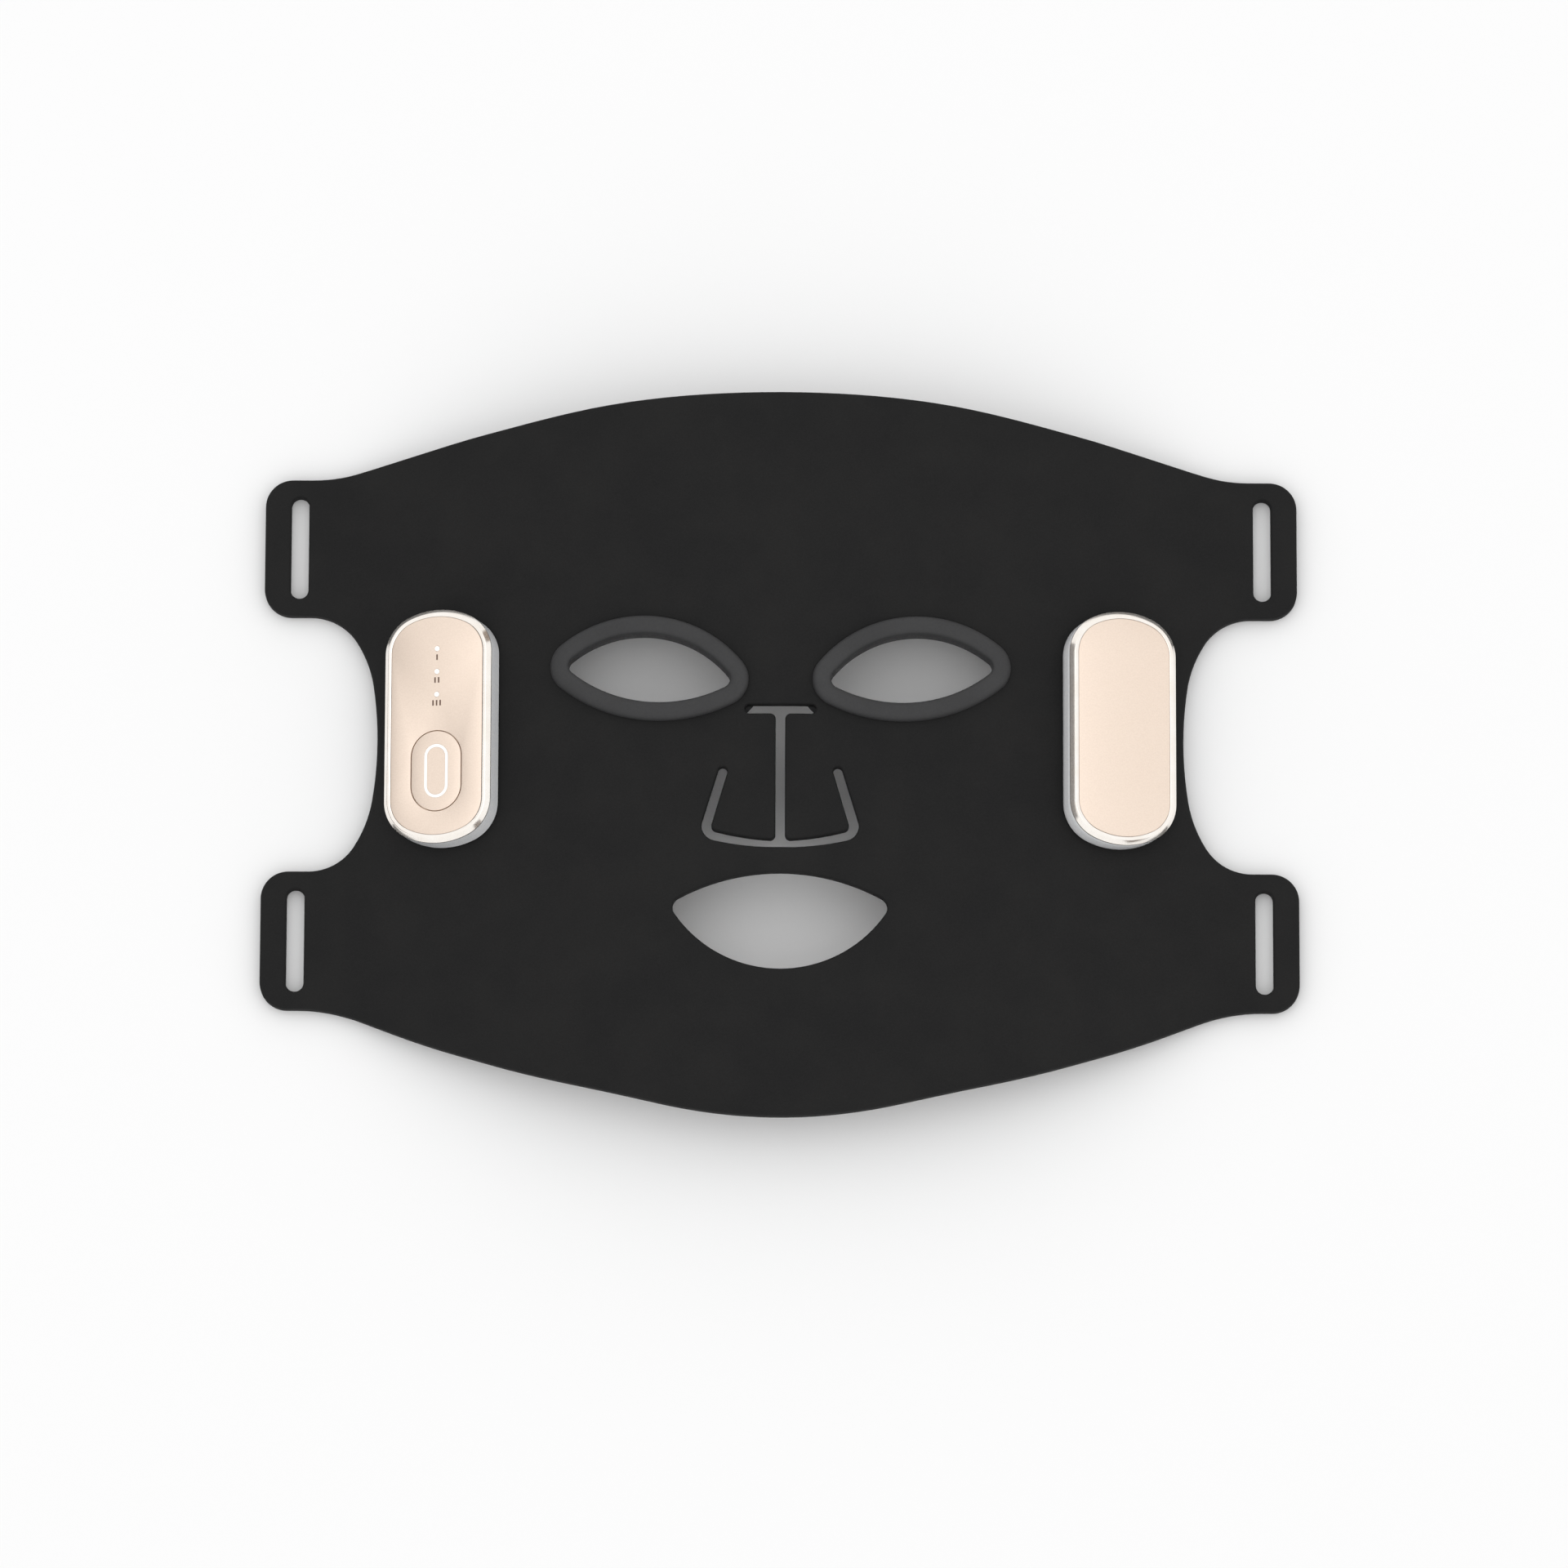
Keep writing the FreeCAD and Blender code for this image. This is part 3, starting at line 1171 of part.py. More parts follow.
def make_fixings(side, prefix):
    """What holds a pod on the sheet: gasket, clamp plate behind the skin, screws, ribbon tail."""
    gasket = new_body(prefix + "_gasket")
    plan = new_sketch(gasket, "GasketPlan", "Sizes.part_gap")
    add_pod_outline(plan, "Sizes.gasket_inset")
    add_pod_outline(plan, "Sizes.gasket_inset + Sizes.gasket_width")
    pad(gasket, "Gasket", plan, "Sizes.gasket_height - 2 * Sizes.part_gap")
    gasket.Placement = pod_place(side)

    below_skin = "Sizes.skin_depth * cos(Sizes.arch_slope) + Sizes.clamp_gap"
    plate = new_body(prefix + "_clamp_plate")
    plan = new_sketch(plate, "PlatePlan", "-(%s + Sizes.clamp_thickness)" % below_skin)
    add_rectangle(plan, "-Sizes.clamp_width / 2", "Sizes.clamp_width / 2",
                  "-Sizes.clamp_length / 2", "Sizes.clamp_length / 2")
    four_bosses(plan, "Sizes.screw_radius + Sizes.screw_clearance")
    ribbon_slot(plan)
    pad(plate, "Plate", plan, "Sizes.clamp_thickness")
    plate.Placement = pod_place(side)

    head_top = -(size("skin_depth") * math.cos(SLOPE) + size("clamp_gap") + size("clamp_thickness"))
    head = size("screw_head_height")
    screws = []
    for x in (-1, 1):
        for y in (-1, 1):
            place = Vector(x * size("boss_x"), y * size("boss_y"), head_top - head)
            shank_length = size("boss_top") - size("screw_tip_gap") - place.z
            shank = Part.makeCylinder(size("screw_radius"), shank_length, place)
            screws.append(shank.fuse(Part.makeCylinder(size("screw_head_radius"), head, place)))
    keep_shape(prefix + "_screws", Part.makeCompound(screws)).Placement = pod_place(side)

    half = size("ribbon_width") / 2
    thick = size("ribbon_thickness")
    low = head_top
    top = size("boss_top") - size("plug_drop")
    tail = Part.makeBox(2 * half, thick, top - low, Vector(-half, -size("boss_y") - thick / 2, low))
    keep_shape(prefix + "_ribbon", tail).Placement = pod_place(side)
    corner = Vector(-half - size("plug_overlap"), -size("boss_y") - size("plug_depth") / 2, top)
    make_block(prefix + "_ribbon_plug", side, corner,
               ("Sizes.ribbon_width + 2 * Sizes.plug_overlap", "Sizes.plug_depth", "Sizes.plug_height"))


control_housing = make_housing("control_housing", -1)
cut_port_slot(control_housing)
make_bezel("control_bezel", -1)
make_face_plate("control_face_plate", -1)
make_button()
make_mode_lights()
make_board()
make_port()
make_fixings(-1, "control")
make_housing("battery_housing", 1)
make_bezel("battery_bezel", 1)
make_face_plate("battery_face_plate", 1)
make_battery()
make_fixings(1, "battery")

# ---------------------------------------------------------------- test and write

document.recompute()
for item in document.Objects:
    if "Invalid" in item.State or "Error" in item.State:
        raise ValueError("%s failed: %s" % (item.Label, item.State))
for piece in pieces:
    if piece.Shape.isNull() or not piece.Shape.isValid() or not piece.Shape.Solids:
        raise ValueError("%s has no sound solid" % piece.Label)

os.makedirs("parts", exist_ok=True)
for piece in pieces:
    piece.Shape.exportStep("parts/%s.step" % piece.Label)
print("wrote %d nodes" % len(pieces))
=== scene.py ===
import bpy, bmesh, math
from mathutils import Vector, Matrix


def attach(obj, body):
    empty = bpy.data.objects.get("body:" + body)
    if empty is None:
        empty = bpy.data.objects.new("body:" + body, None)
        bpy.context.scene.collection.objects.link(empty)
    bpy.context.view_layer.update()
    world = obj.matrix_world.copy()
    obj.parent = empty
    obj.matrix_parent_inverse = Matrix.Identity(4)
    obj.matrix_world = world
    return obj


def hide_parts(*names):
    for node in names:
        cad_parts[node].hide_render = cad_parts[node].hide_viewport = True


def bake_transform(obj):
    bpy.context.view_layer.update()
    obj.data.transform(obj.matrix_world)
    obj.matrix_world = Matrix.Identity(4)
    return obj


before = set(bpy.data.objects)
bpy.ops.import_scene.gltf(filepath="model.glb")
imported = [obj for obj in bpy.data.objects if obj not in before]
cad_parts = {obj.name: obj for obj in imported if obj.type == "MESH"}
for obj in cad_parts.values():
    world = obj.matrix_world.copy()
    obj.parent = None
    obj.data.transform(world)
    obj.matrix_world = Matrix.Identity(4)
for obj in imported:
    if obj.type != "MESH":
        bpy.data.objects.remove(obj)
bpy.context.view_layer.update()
scene = bpy.context.scene
print("frame loaded:", len(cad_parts), "nodes")

# everything below is drawn in millimetres and scaled to metres when a piece is finished

# the camera looks down at the face, a little from the chin side
cameraSet = {
    "target": (1.0, -6.2, 4.0),
    "azimuth": 0.0,
    "elevation": 79.0,
    "distance": 2600.0,
    "lens": 221.6,
    "roll": 0.18,
}


def placeCamera(s):
    data = bpy.data.cameras.new("camera")
    data.lens, data.sensor_width = s["lens"], 36.0
    data.clip_start, data.clip_end = 0.05, 20.0
    cam = bpy.data.objects.new("camera", data)
    scene.collection.objects.link(cam)
    a, e = math.radians(s["azimuth"]), math.radians(s["elevation"])
    back = Vector((math.sin(a) * math.cos(e), -math.cos(a) * math.cos(e), math.sin(e)))
    cam.rotation_mode = "QUATERNION"
    roll = Matrix.Rotation(math.radians(s["roll"]), 3, "Z").to_quaternion()
    cam.rotation_quaternion = (-back).to_track_quat("-Z", "Y") @ roll
    cam.location = (Vector(s["target"]) + back * s["distance"]) * 0.001
    scene.camera = cam


placeCamera(cameraSet)

# height of the arched sheet over the table
sheet = {
    "archRadius": 270.0,
    "archSlope": 15.0,
    "templeEnd": 110.0,
    "levelRadius": 45.0,
    "depth": 4.0,
    "crownDrop": 7.0,
    "browReach": 98.95,
    "foldX": 69.0,
}
slope = math.radians(sheet["archSlope"])


def archDrop(x):
    r = sheet["archRadius"]
    arcEnd = r * math.sin(slope)
    if x <= arcEnd:
        return r - math.sqrt(r * r - x * x)
    return r * (1 - math.cos(slope)) + (x - arcEnd) * math.tan(slope)


crownTop = sheet["depth"] + archDrop(sheet["templeEnd"]) + sheet["levelRadius"] * (1 - math.cos(slope))


def topHeight(x, y):
    x = abs(x)
    r = sheet["levelRadius"]
    flatX = sheet["templeEnd"] + r * math.sin(slope)
    if x >= flatX:
        return sheet["depth"]
    if x > sheet["templeEnd"]:
        return sheet["depth"] + r - math.sqrt(r * r - (flatX - x) ** 2)
    crown = max(0.0, 1 - (x / sheet["foldX"]) ** 2) ** 2
    return crownTop - archDrop(x) - sheet["crownDrop"] * (y / sheet["browReach"]) ** 2 * crown


# closed outlines, made of arcs
# an outline is a list of arcs: centre, start point, turn in radians, number of steps
joinGap = 0.05  # arcs that end closer together than this share a vertex


def arcSteps(radius, turn):
    return max(2, round(abs(turn) * math.sqrt(max(radius, 0.3)) * 3.2))


def insetCorners(corners, inset):
    # moves every side of a closed chain of (x, y, radius) corners inwards
    moved = []
    count = len(corners)
    for i in range(count):
        a, b, c = (Vector(corners[(i + k) % count][:2]) for k in (-1, 0, 1))
        inDir, outDir = (b - a).normalized(), (c - b).normalized()
        inNormal, outNormal = Vector((-inDir.y, inDir.x)), Vector((-outDir.y, outDir.x))
        cross = inDir.x * outDir.y - inDir.y * outDir.x
        offset = (inNormal + outNormal) * (inset / (1 + inNormal.dot(outNormal)))
        grow = -inset if cross > 0 else inset
        moved.append((b.x + offset.x, b.y + offset.y, max(0.25, corners[i][2] + grow), corners[i][2]))
    return moved


def cornerArcs(corners, inset=0.0):
    arcs = []
    chain = insetCorners(corners, inset)
    count = len(chain)
    for i, (x, y, radius, nominal) in enumerate(chain):
        corner = Vector((x, y, 0))
        before = (Vector((*chain[i - 1][:2], 0)) - corner).normalized()
        after = (Vector((*chain[(i + 1) % count][:2], 0)) - corner).normalized()
        half = before.angle(after) / 2
        centre = corner + (before + after).normalized() * (radius / math.sin(half))
        start = corner + before * (radius / math.tan(half))
        turn = math.copysign(math.pi - 2 * half, (-before).cross(after).z)
        arcs.append((centre, start, turn, arcSteps(nominal, turn)))
    return arcs


def arcBetween(centre, radius, start, end, nominal):
    middle = Vector((centre[0], centre[1], 0))
    turn = end - start
    first = middle + Vector((math.cos(start), math.sin(start), 0)) * radius
    return middle, first, turn, arcSteps(nominal, turn)


def lensArcs(upper, lower, tip, grow=0.0):
    # two discs (x, y, radius) overlap, and their tips are rounded
    (x1, y1, r1), (x2, y2, r2) = upper, lower
    distance = math.hypot(x2 - x1, y2 - y1)
    reach1, reach2 = r1 - tip, r2 - tip
    along = (reach1 ** 2 - reach2 ** 2 + distance ** 2) / (2 * distance)
    across = math.sqrt(reach1 ** 2 - along ** 2)
    ux, uy = (x2 - x1) / distance, (y2 - y1) / distance
    tips = [(x1 + ux * along + uy * side * across, y1 + uy * along - ux * side * across) for side in (1, -1)]
    tips.sort(key=lambda p: -p[0])
    (rx, ry), (lx, ly) = tips
    top = [math.atan2(ty - y1, tx - x1) for tx, ty in tips]
    low = [math.atan2(ty - y2, tx - x2) for tx, ty in tips]
    if low[1] > low[0]:
        low[1] -= 2 * math.pi
    return [
        arcBetween((x1, y1), r1 + grow, top[0], top[1], r1),
        arcBetween((lx, ly), tip + grow, top[1], low[1] + 2 * math.pi, tip + 3),
        arcBetween((x2, y2), r2 + grow, low[1], low[0], r2),
        arcBetween((rx, ry), tip + grow, low[0], top[0], tip + 3),
    ]


def drawLoop(bm, arcs, z):
    # spins one closed loop of edges; an arc starts on the last vertex where it touches it
    chain, edges = [], []
    for i, (centre, start, turn, steps) in enumerate(arcs):
        place = Vector((start.x, start.y, z))
        pivot = Vector((centre.x, centre.y, z))
        if not chain:
            chain.append(bmesh.ops.create_vert(bm, co=place)["vert"][0])
        elif (chain[-1].co - place).length > joinGap:
            chain.append(bmesh.ops.create_vert(bm, co=place)["vert"][0])
            edges.append(bm.edges.new((chain[-2], chain[-1])))
        end = pivot + Matrix.Rotation(turn, 3, "Z") @ (place - pivot)
        if i == len(arcs) - 1 and (end - chain[0].co).length < joinGap:
            turn *= (steps - 1) / steps
            steps -= 1
        known = set(chain[-1].link_edges)
        bmesh.ops.spin(bm, geom=[chain[-1]], cent=pivot, axis=(0, 0, 1), angle=turn, steps=steps,
                       use_merge=False)
        for _ in range(steps):
            link = next(e for e in chain[-1].link_edges if e not in known)
            edges.append(link)
            chain.append(link.other_vert(chain[-1]))
            known = {link}
    edges.append(bm.edges.new((chain[-1], chain[0])))
    return edges


def loopPoints(arcs, z):
    # the places where drawLoop puts the vertices of the same arcs
    points = []
    for i, (centre, start, turn, steps) in enumerate(arcs):
        pivot = Vector((centre.x, centre.y, z))
        place = Vector((start.x, start.y, z))
        end = pivot + Matrix.Rotation(turn, 3, "Z") @ (place - pivot)
        if not points or (points[-1] - place).length > joinGap:
            points.append(place)
        last = i == len(arcs) - 1 and (end - points[0]).length < joinGap
        points += [pivot + Matrix.Rotation(turn * k / steps, 3, "Z") @ (place - pivot)
                   for k in range(1, steps if last else steps + 1)]
    return points


def loft(bm, shape, profile, closed=False):
    # shape(inset) gives the arcs and profile is a list of (inset, z)
    # each loop is extruded and its new vertices are moved to the next place
    loops = [drawLoop(bm, shape(profile[0][0]), profile[0][1])]
    chain = orderedVerts(loops[0])
    first = list(chain)
    for inset, z in profile[1:] + (profile[:1] if closed else []):
        grown = bmesh.ops.extrude_edge_only(bm, edges=loops[-1])["geom"]
        edges = [g for g in grown if isinstance(g, bmesh.types.BMEdge)]
        verts = {g for g in grown if isinstance(g, bmesh.types.BMVert)}
        chain = [next(e.other_vert(v) for e in v.link_edges if e.other_vert(v) in verts) for v in chain]
        for vert, place in zip(chain, loopPoints(shape(inset), z)):
            vert.co = place
        loops.append(edges)
    if closed:
        bmesh.ops.weld_verts(bm, targetmap=dict(zip(chain, first)))
        loops.pop()
    return loops


def orderedVerts(edges):
    # the vertices of a drawn loop in the order of its edges
    chain = [next(v for v in edges[0].verts if v not in edges[1].verts)]
    for edge in edges[:-1]:
        chain.append(edge.other_vert(chain[-1]))
    return chain


def fill(bm, loops):
    edges = [e for loop in loops for e in loop]
    bmesh.ops.triangle_fill(bm, use_beauty=True, use_dissolve=False, edges=edges)


def roundedEdge(radius, z, parts=4, start=0.0):
    # profile points of a rounded top edge, from the flat face down to the side
    return [(start + radius * (1 - math.sin(i * math.pi / 2 / parts)),
             z - radius * (1 - math.cos(i * math.pi / 2 / parts))) for i in range(parts + 1)]


# outlines of the mask seen from above
plan = {
    "reach": 98.95, "tabReach": 139.6, "tabHeight": 37.6, "tabPitch": 107.8, "tabShift": 4.65,
    "tabCorner": 7.4, "tabBlend": 45.0,
    "browRadius": 270.0, "browKnee": (85.0, 86.9), "browBlendX": 121.0, "kneeRadius": 230.0,
    "chinRadius": 150.0, "jawKnee": (66.0, 88.0), "jawTurn": (95.0, 78.6), "jawBlendX": 120.3,
    "earDepth": 108.6, "earRadius": 100.0, "earSideRadius": 33.0, "earCorner": 14.7,
    "earTurns": (9.0, 32.0),
    "eyeUpper": (37.45, 1.0, 30.0), "eyeLower": (31.75, 49.8, 37.75), "eyeTip": 2.5,
    "mouthUpper": (0.0, -92.2, 58.2), "mouthLower": (0.0, -25.75, 34.1), "mouthTip": 3.0,
    "slotX": 130.2, "slotLength": 28.0, "slotWidth": 4.8,
    "pocketX": 114.0,
}


def apexCorner(reach, radius, kneeX, kneeY):
    centre = reach - radius
    distance = math.hypot(kneeX, kneeY - centre)
    turn = math.atan2(kneeX, kneeY - centre) - math.acos(radius / distance)
    return centre + radius / math.cos(turn)


def outlineCorners():
    p = plan
    upper, lower = p["tabShift"] + p["tabPitch"] / 2, p["tabShift"] - p["tabPitch"] / 2
    half, middle = p["tabHeight"] / 2, p["tabShift"]
    first, second = (math.radians(t) for t in p["earTurns"])
    earApex = p["earDepth"] - p["earRadius"] * (1 / math.cos(first) - 1)
    run = p["earRadius"] * math.tan(first) + p["earSideRadius"] * math.tan((second - first) / 2)
    sideX, sideY = earApex + run * math.sin(first), run * math.cos(first)
    edgeX = sideX + (p["tabPitch"] / 2 - half - sideY) * math.tan(second)
    right = [
        (p["jawKnee"][0], -p["jawKnee"][1], p["kneeRadius"]),
        (p["jawTurn"][0], -p["jawTurn"][1], p["kneeRadius"]),
        (p["jawBlendX"], lower - half, p["tabBlend"]),
        (p["tabReach"], lower - half, p["tabCorner"]),
        (p["tabReach"], lower + half, p["tabCorner"]),
        (edgeX, lower + half, p["earCorner"]),
        (sideX, middle - sideY, p["earSideRadius"]),
        (earApex, middle, p["earRadius"]),
        (sideX, middle + sideY, p["earSideRadius"]),
        (edgeX, upper - half, p["earCorner"]),
        (p["tabReach"], upper - half, p["tabCorner"]),
        (p["tabReach"], upper + half, p["tabCorner"]),
        (p["browBlendX"], upper + half, p["tabBlend"]),
        (*p["browKnee"], p["kneeRadius"]),
    ]
    left = [(-x, y, r) for x, y, r in reversed(right)]
    chin = apexCorner(p["reach"], p["chinRadius"], *p["jawKnee"])
    brow = apexCorner(p["reach"], p["browRadius"], *p["browKnee"])
    return [(0.0, -chin, p["chinRadius"])] + right + [(0.0, brow, p["browRadius"])] + left


def clipCorners(corners, limit):
    # cuts a chain of corners off at x = +-limit
    kept = []
    count = len(corners)
    for i in range(count):
        a, b = corners[i], corners[(i + 1) % count]
        if abs(a[0]) <= limit:
            kept.append(a)
        for bound in (limit, -limit):
            if (a[0] - bound) * (b[0] - bound) < 0:
                t = (bound - a[0]) / (b[0] - a[0])
                kept.append((bound, a[1] + (b[1] - a[1]) * t, 0.8))
    return kept


outline = outlineCorners()


def pocketShape(inset):
    chain = [corner[:3] for corner in insetCorners(outline, inset)]
    return cornerArcs(clipCorners(chain, plan["pocketX"] - (inset - 3.0)))


def eyeShape(side):
    (x1, y1, r1), (x2, y2, r2) = plan["eyeUpper"], plan["eyeLower"]
    return lambda grow: lensArcs((side * x1, y1, r1), (side * x2, y2, r2), plan["eyeTip"], grow)


def mouthShape(grow):
    return lensArcs(plan["mouthUpper"], plan["mouthLower"], plan["mouthTip"], grow)


def stadium(x, y, width, length):
    half, r = length / 2, width / 2
    corners = [(x + r, y - half, r - 0.01), (x + r, y + half, r - 0.01),
               (x - r, y + half, r - 0.01), (x - r, y - half, r - 0.01)]
    return lambda grow: cornerArcs(corners, -grow)


nose = {
    "bridgeY": 10.25, "bridgeReach": 9.6, "width": 2.5, "lowY": -26.6, "lowRadius": 70.0,
    "cornerX": 20.4, "flankTop": (15.4, -6.8), "fillet": 1.5, "outerFillet": 4.2,
    "outerLowX": 9.0, "innerLowX": 10.5, "bandFrom": 1.5, "bandRadius": 12.0,
}


def noseCorners():
    # the cross cut, the centre cut, the lower cut and the two side cuts as one closed chain
    n = nose
    h = n["width"] / 2

    def low(x, shift):
        r = n["lowRadius"] + shift
        return n["lowY"] + n["lowRadius"] - math.sqrt(r * r - x * x)

    cornerY = low(n["cornerX"], 0)
    top, corner = Vector(n["flankTop"]), Vector((n["cornerX"], cornerY))
    along = (corner - top).normalized()
    side = Vector((-along.y, along.x)) * h
    if side.x < 0:
        side = -side
    end = top - along * h
    tangent = Vector((math.sqrt(n["lowRadius"] ** 2 - n["cornerX"] ** 2), n["cornerX"])).normalized()
    outer = corner + side + tangent * 0.2 + along * h * 1.1
    t = (low(corner.x - side.x, -h) - (top - side).y) / along.y
    inner = top - side + along * (t - 0.2)
    right = [
        (n["outerLowX"], low(n["outerLowX"], h), n["lowRadius"]),
        (outer.x, outer.y, n["outerFillet"]),
        (end.x + side.x, end.y + side.y, h - 0.02),
        (end.x - side.x, end.y - side.y, h - 0.02),
        (inner.x, inner.y, n["fillet"]),
        (n["innerLowX"], low(n["innerLowX"], -h), n["lowRadius"]),
        (h, low(h, -h), n["fillet"]),
        (h, n["bridgeY"] - h, n["fillet"]),
        (n["bridgeReach"], n["bridgeY"] - h, h - 0.02),
        (n["bridgeReach"], n["bridgeY"] + h, h - 0.02),
    ]
    left = [(-x, y, r) for x, y, r in reversed(right)]
    return right + left


noseChain = noseCorners()


def noseShape(grow):
    # a band round the slots takes tighter bends, so that neighbouring bends don't meet
    chain = noseChain
    if grow >= nose["bandFrom"]:
        chain = [(x, y, min(r, nose["bandRadius"])) for x, y, r in noseChain]
    return cornerArcs(chain, -grow)


strapSlots = [stadium(side * plan["slotX"], plan["tabShift"] + level * plan["tabPitch"] / 2,
                      plan["slotWidth"], plan["slotLength"]) for side in (-1, 1) for level in (-1, 1)]


# from a flat drawing to a draped piece
def gridCut(bm, placesX, placesY):
    # cuts a flat plate into a grid so that it can follow the arch
    for axis, places in ((0, placesX), (1, placesY)):
        point, normal = [0.0, 0.0, 0.0], [0.0, 0.0, 0.0]
        normal[axis] = 1.0
        for at in places:
            point[axis] = at
            above = {v for v in bm.verts if v.co[axis] > at}
            edges = [e for e in bm.edges if (e.verts[0] in above) != (e.verts[1] in above)]
            cutNear(bm, {f for e in edges for f in e.link_faces}, point, normal)


def cutNear(bm, faces, point, normal):
    geom = set(faces) | {e for f in faces for e in f.edges} | {v for f in faces for v in f.verts}
    bmesh.ops.bisect_plane(bm, geom=list(geom), dist=0.004, plane_co=point, plane_no=normal)


def keepSide(bm, x, sign):
    # keeps what lies beyond an upright plane at x and closes the cut
    bmesh.ops.bisect_plane(bm, geom=bm.verts[:] + bm.edges[:] + bm.faces[:], dist=0.0005,
                           plane_co=(x, 0, 0), plane_no=(-sign, 0, 0), clear_outer=True)
    closeCuts(bm)


def closeCuts(bm):
    rims = [e for e in bm.edges if e.is_boundary]
    bmesh.ops.holes_fill(bm, edges=rims, sides=0)


def drape(bm):
    for v in bm.verts:
        v.co.z += topHeight(v.co.x, v.co.y)


def tidy(bm):
    bmesh.ops.remove_doubles(bm, verts=bm.verts[:], dist=0.004)
    bmesh.ops.dissolve_degenerate(bm, dist=0.003, edges=bm.edges[:])
    bmesh.ops.recalc_face_normals(bm, faces=bm.faces[:])


def finishPiece(name, bm, body, material, replaces=(), angle=40.0, place=None, ride=True):
    if place is not None:
        bmesh.ops.transform(bm, matrix=place, verts=bm.verts[:])
    bmesh.ops.scale(bm, vec=(0.001, 0.001, 0.001), verts=bm.verts[:])
    mesh = bpy.data.meshes.new(name)
    bm.to_mesh(mesh)
    bm.free()
    mesh.shade_smooth()
    mesh.set_sharp_from_angle(angle=math.radians(angle))
    mesh.materials.append(material)
    piece = bpy.data.objects.new(name, mesh)
    scene.collection.objects.link(piece)
    if ride:
        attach(piece, body)
    if replaces:
        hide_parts(*replaces)
    return piece


# finishes
def newMaterial(name, base, rough, metallic=0.0, specular=0.5, coat=0.0, coatRough=0.1,
                transmission=0.0, emission=None):
    mat = bpy.data.materials.new(name)
    mat.use_nodes = True
    shader = mat.node_tree.nodes["Principled BSDF"]
    shader.inputs["Base Color"].default_value = (*base, 1)
    shader.inputs["Roughness"].default_value = rough
    shader.inputs["Metallic"].default_value = metallic
    shader.inputs["Specular IOR Level"].default_value = specular
    shader.inputs["Coat Weight"].default_value = coat
    shader.inputs["Coat Roughness"].default_value = coatRough
    shader.inputs["Transmission Weight"].default_value = transmission
    if emission:
        shader.inputs["Emission Color"].default_value = (*emission[:3], 1)
        shader.inputs["Emission Strength"].default_value = emission[3]
    return mat


def node(mat, kind, **values):
    made = mat.node_tree.nodes.new(kind)
    for key, value in values.items():
        if key in made.inputs:
            made.inputs[key].default_value = value
        else:
            setattr(made, key, value)
    return made


def addGrain(mat, scale, bump, distance, stretch=(1, 1, 1), roughRange=None, colours=None,
             colourScale=60.0):
    # fine grain as bump, an optional spread of roughness and an optional drift of colour
    links = mat.node_tree.links
    shader = mat.node_tree.nodes["Principled BSDF"]
    coords = node(mat, "ShaderNodeTexCoord")
    mapping = node(mat, "ShaderNodeMapping")
    mapping.inputs["Scale"].default_value = stretch
    links.new(coords.outputs["Object"], mapping.inputs["Vector"])
    noise = node(mat, "ShaderNodeTexNoise", Scale=scale, Detail=3.0, Roughness=0.6)
    links.new(mapping.outputs["Vector"], noise.inputs["Vector"])
    bumper = node(mat, "ShaderNodeBump", Strength=bump, Distance=distance)
    links.new(noise.outputs["Fac"], bumper.inputs["Height"])
    links.new(bumper.outputs["Normal"], shader.inputs["Normal"])
    if roughRange:
        ramp = node(mat, "ShaderNodeMapRange")
        ramp.inputs["From Min"].default_value, ramp.inputs["From Max"].default_value = 0.3, 0.7
        ramp.inputs["To Min"].default_value, ramp.inputs["To Max"].default_value = roughRange
        links.new(noise.outputs["Fac"], ramp.inputs["Value"])
        links.new(ramp.outputs["Result"], shader.inputs["Roughness"])
    if colours:
        cloud = node(mat, "ShaderNodeTexNoise", Scale=colourScale, Detail=4.0, Roughness=0.55)
        links.new(coords.outputs["Object"], cloud.inputs["Vector"])
        ramp = node(mat, "ShaderNodeValToRGB")
        ramp.color_ramp.elements[0].position, ramp.color_ramp.elements[1].position = 0.35, 0.65
        ramp.color_ramp.elements[0].color = (*colours[0], 1)
        ramp.color_ramp.elements[1].color = (*colours[1], 1)
        links.new(cloud.outputs["Fac"], ramp.inputs["Fac"])
        links.new(ramp.outputs["Color"], shader.inputs["Base Color"])
    return mat


skinMat = addGrain(newMaterial("outer silicone", (0.014, 0.014, 0.014), 0.85, specular=0.18),
                   2200.0, 0.25, 0.00006, colours=((0.0130, 0.0130, 0.0132), (0.0155, 0.0153, 0.0152)),
                   roughRange=(0.8, 0.95))
ringMat = addGrain(newMaterial("cushion silicone", (0.036, 0.036, 0.037), 0.7, specular=0.35),
                   1600.0, 0.15, 0.00005, colours=((0.033, 0.033, 0.034), (0.039, 0.039, 0.040)),
                   roughRange=(0.55, 0.72))
linerMat = addGrain(newMaterial("liner silicone", (0.72, 0.72, 0.74), 0.35, specular=0.4, transmission=0.82),
                    900.0, 0.2, 0.00005, colours=((0.66, 0.67, 0.70), (0.78, 0.78, 0.78)),
                    roughRange=(0.28, 0.42))
flexMat = addGrain(newMaterial("flex film", (0.42, 0.17, 0.03), 0.32, specular=0.5, coat=0.3),
                   700.0, 0.1, 0.00003, colours=((0.38, 0.15, 0.02), (0.5, 0.21, 0.04)), colourScale=300.0)
pearlMat = addGrain(newMaterial("pearl lacquer", (0.9, 0.9, 0.91), 0.3, coat=0.5, coatRough=0.15),
                    3500.0, 0.08, 0.00002, colours=((0.87, 0.88, 0.90), (0.94, 0.94, 0.94)),
                    colourScale=900.0, roughRange=(0.25, 0.36))
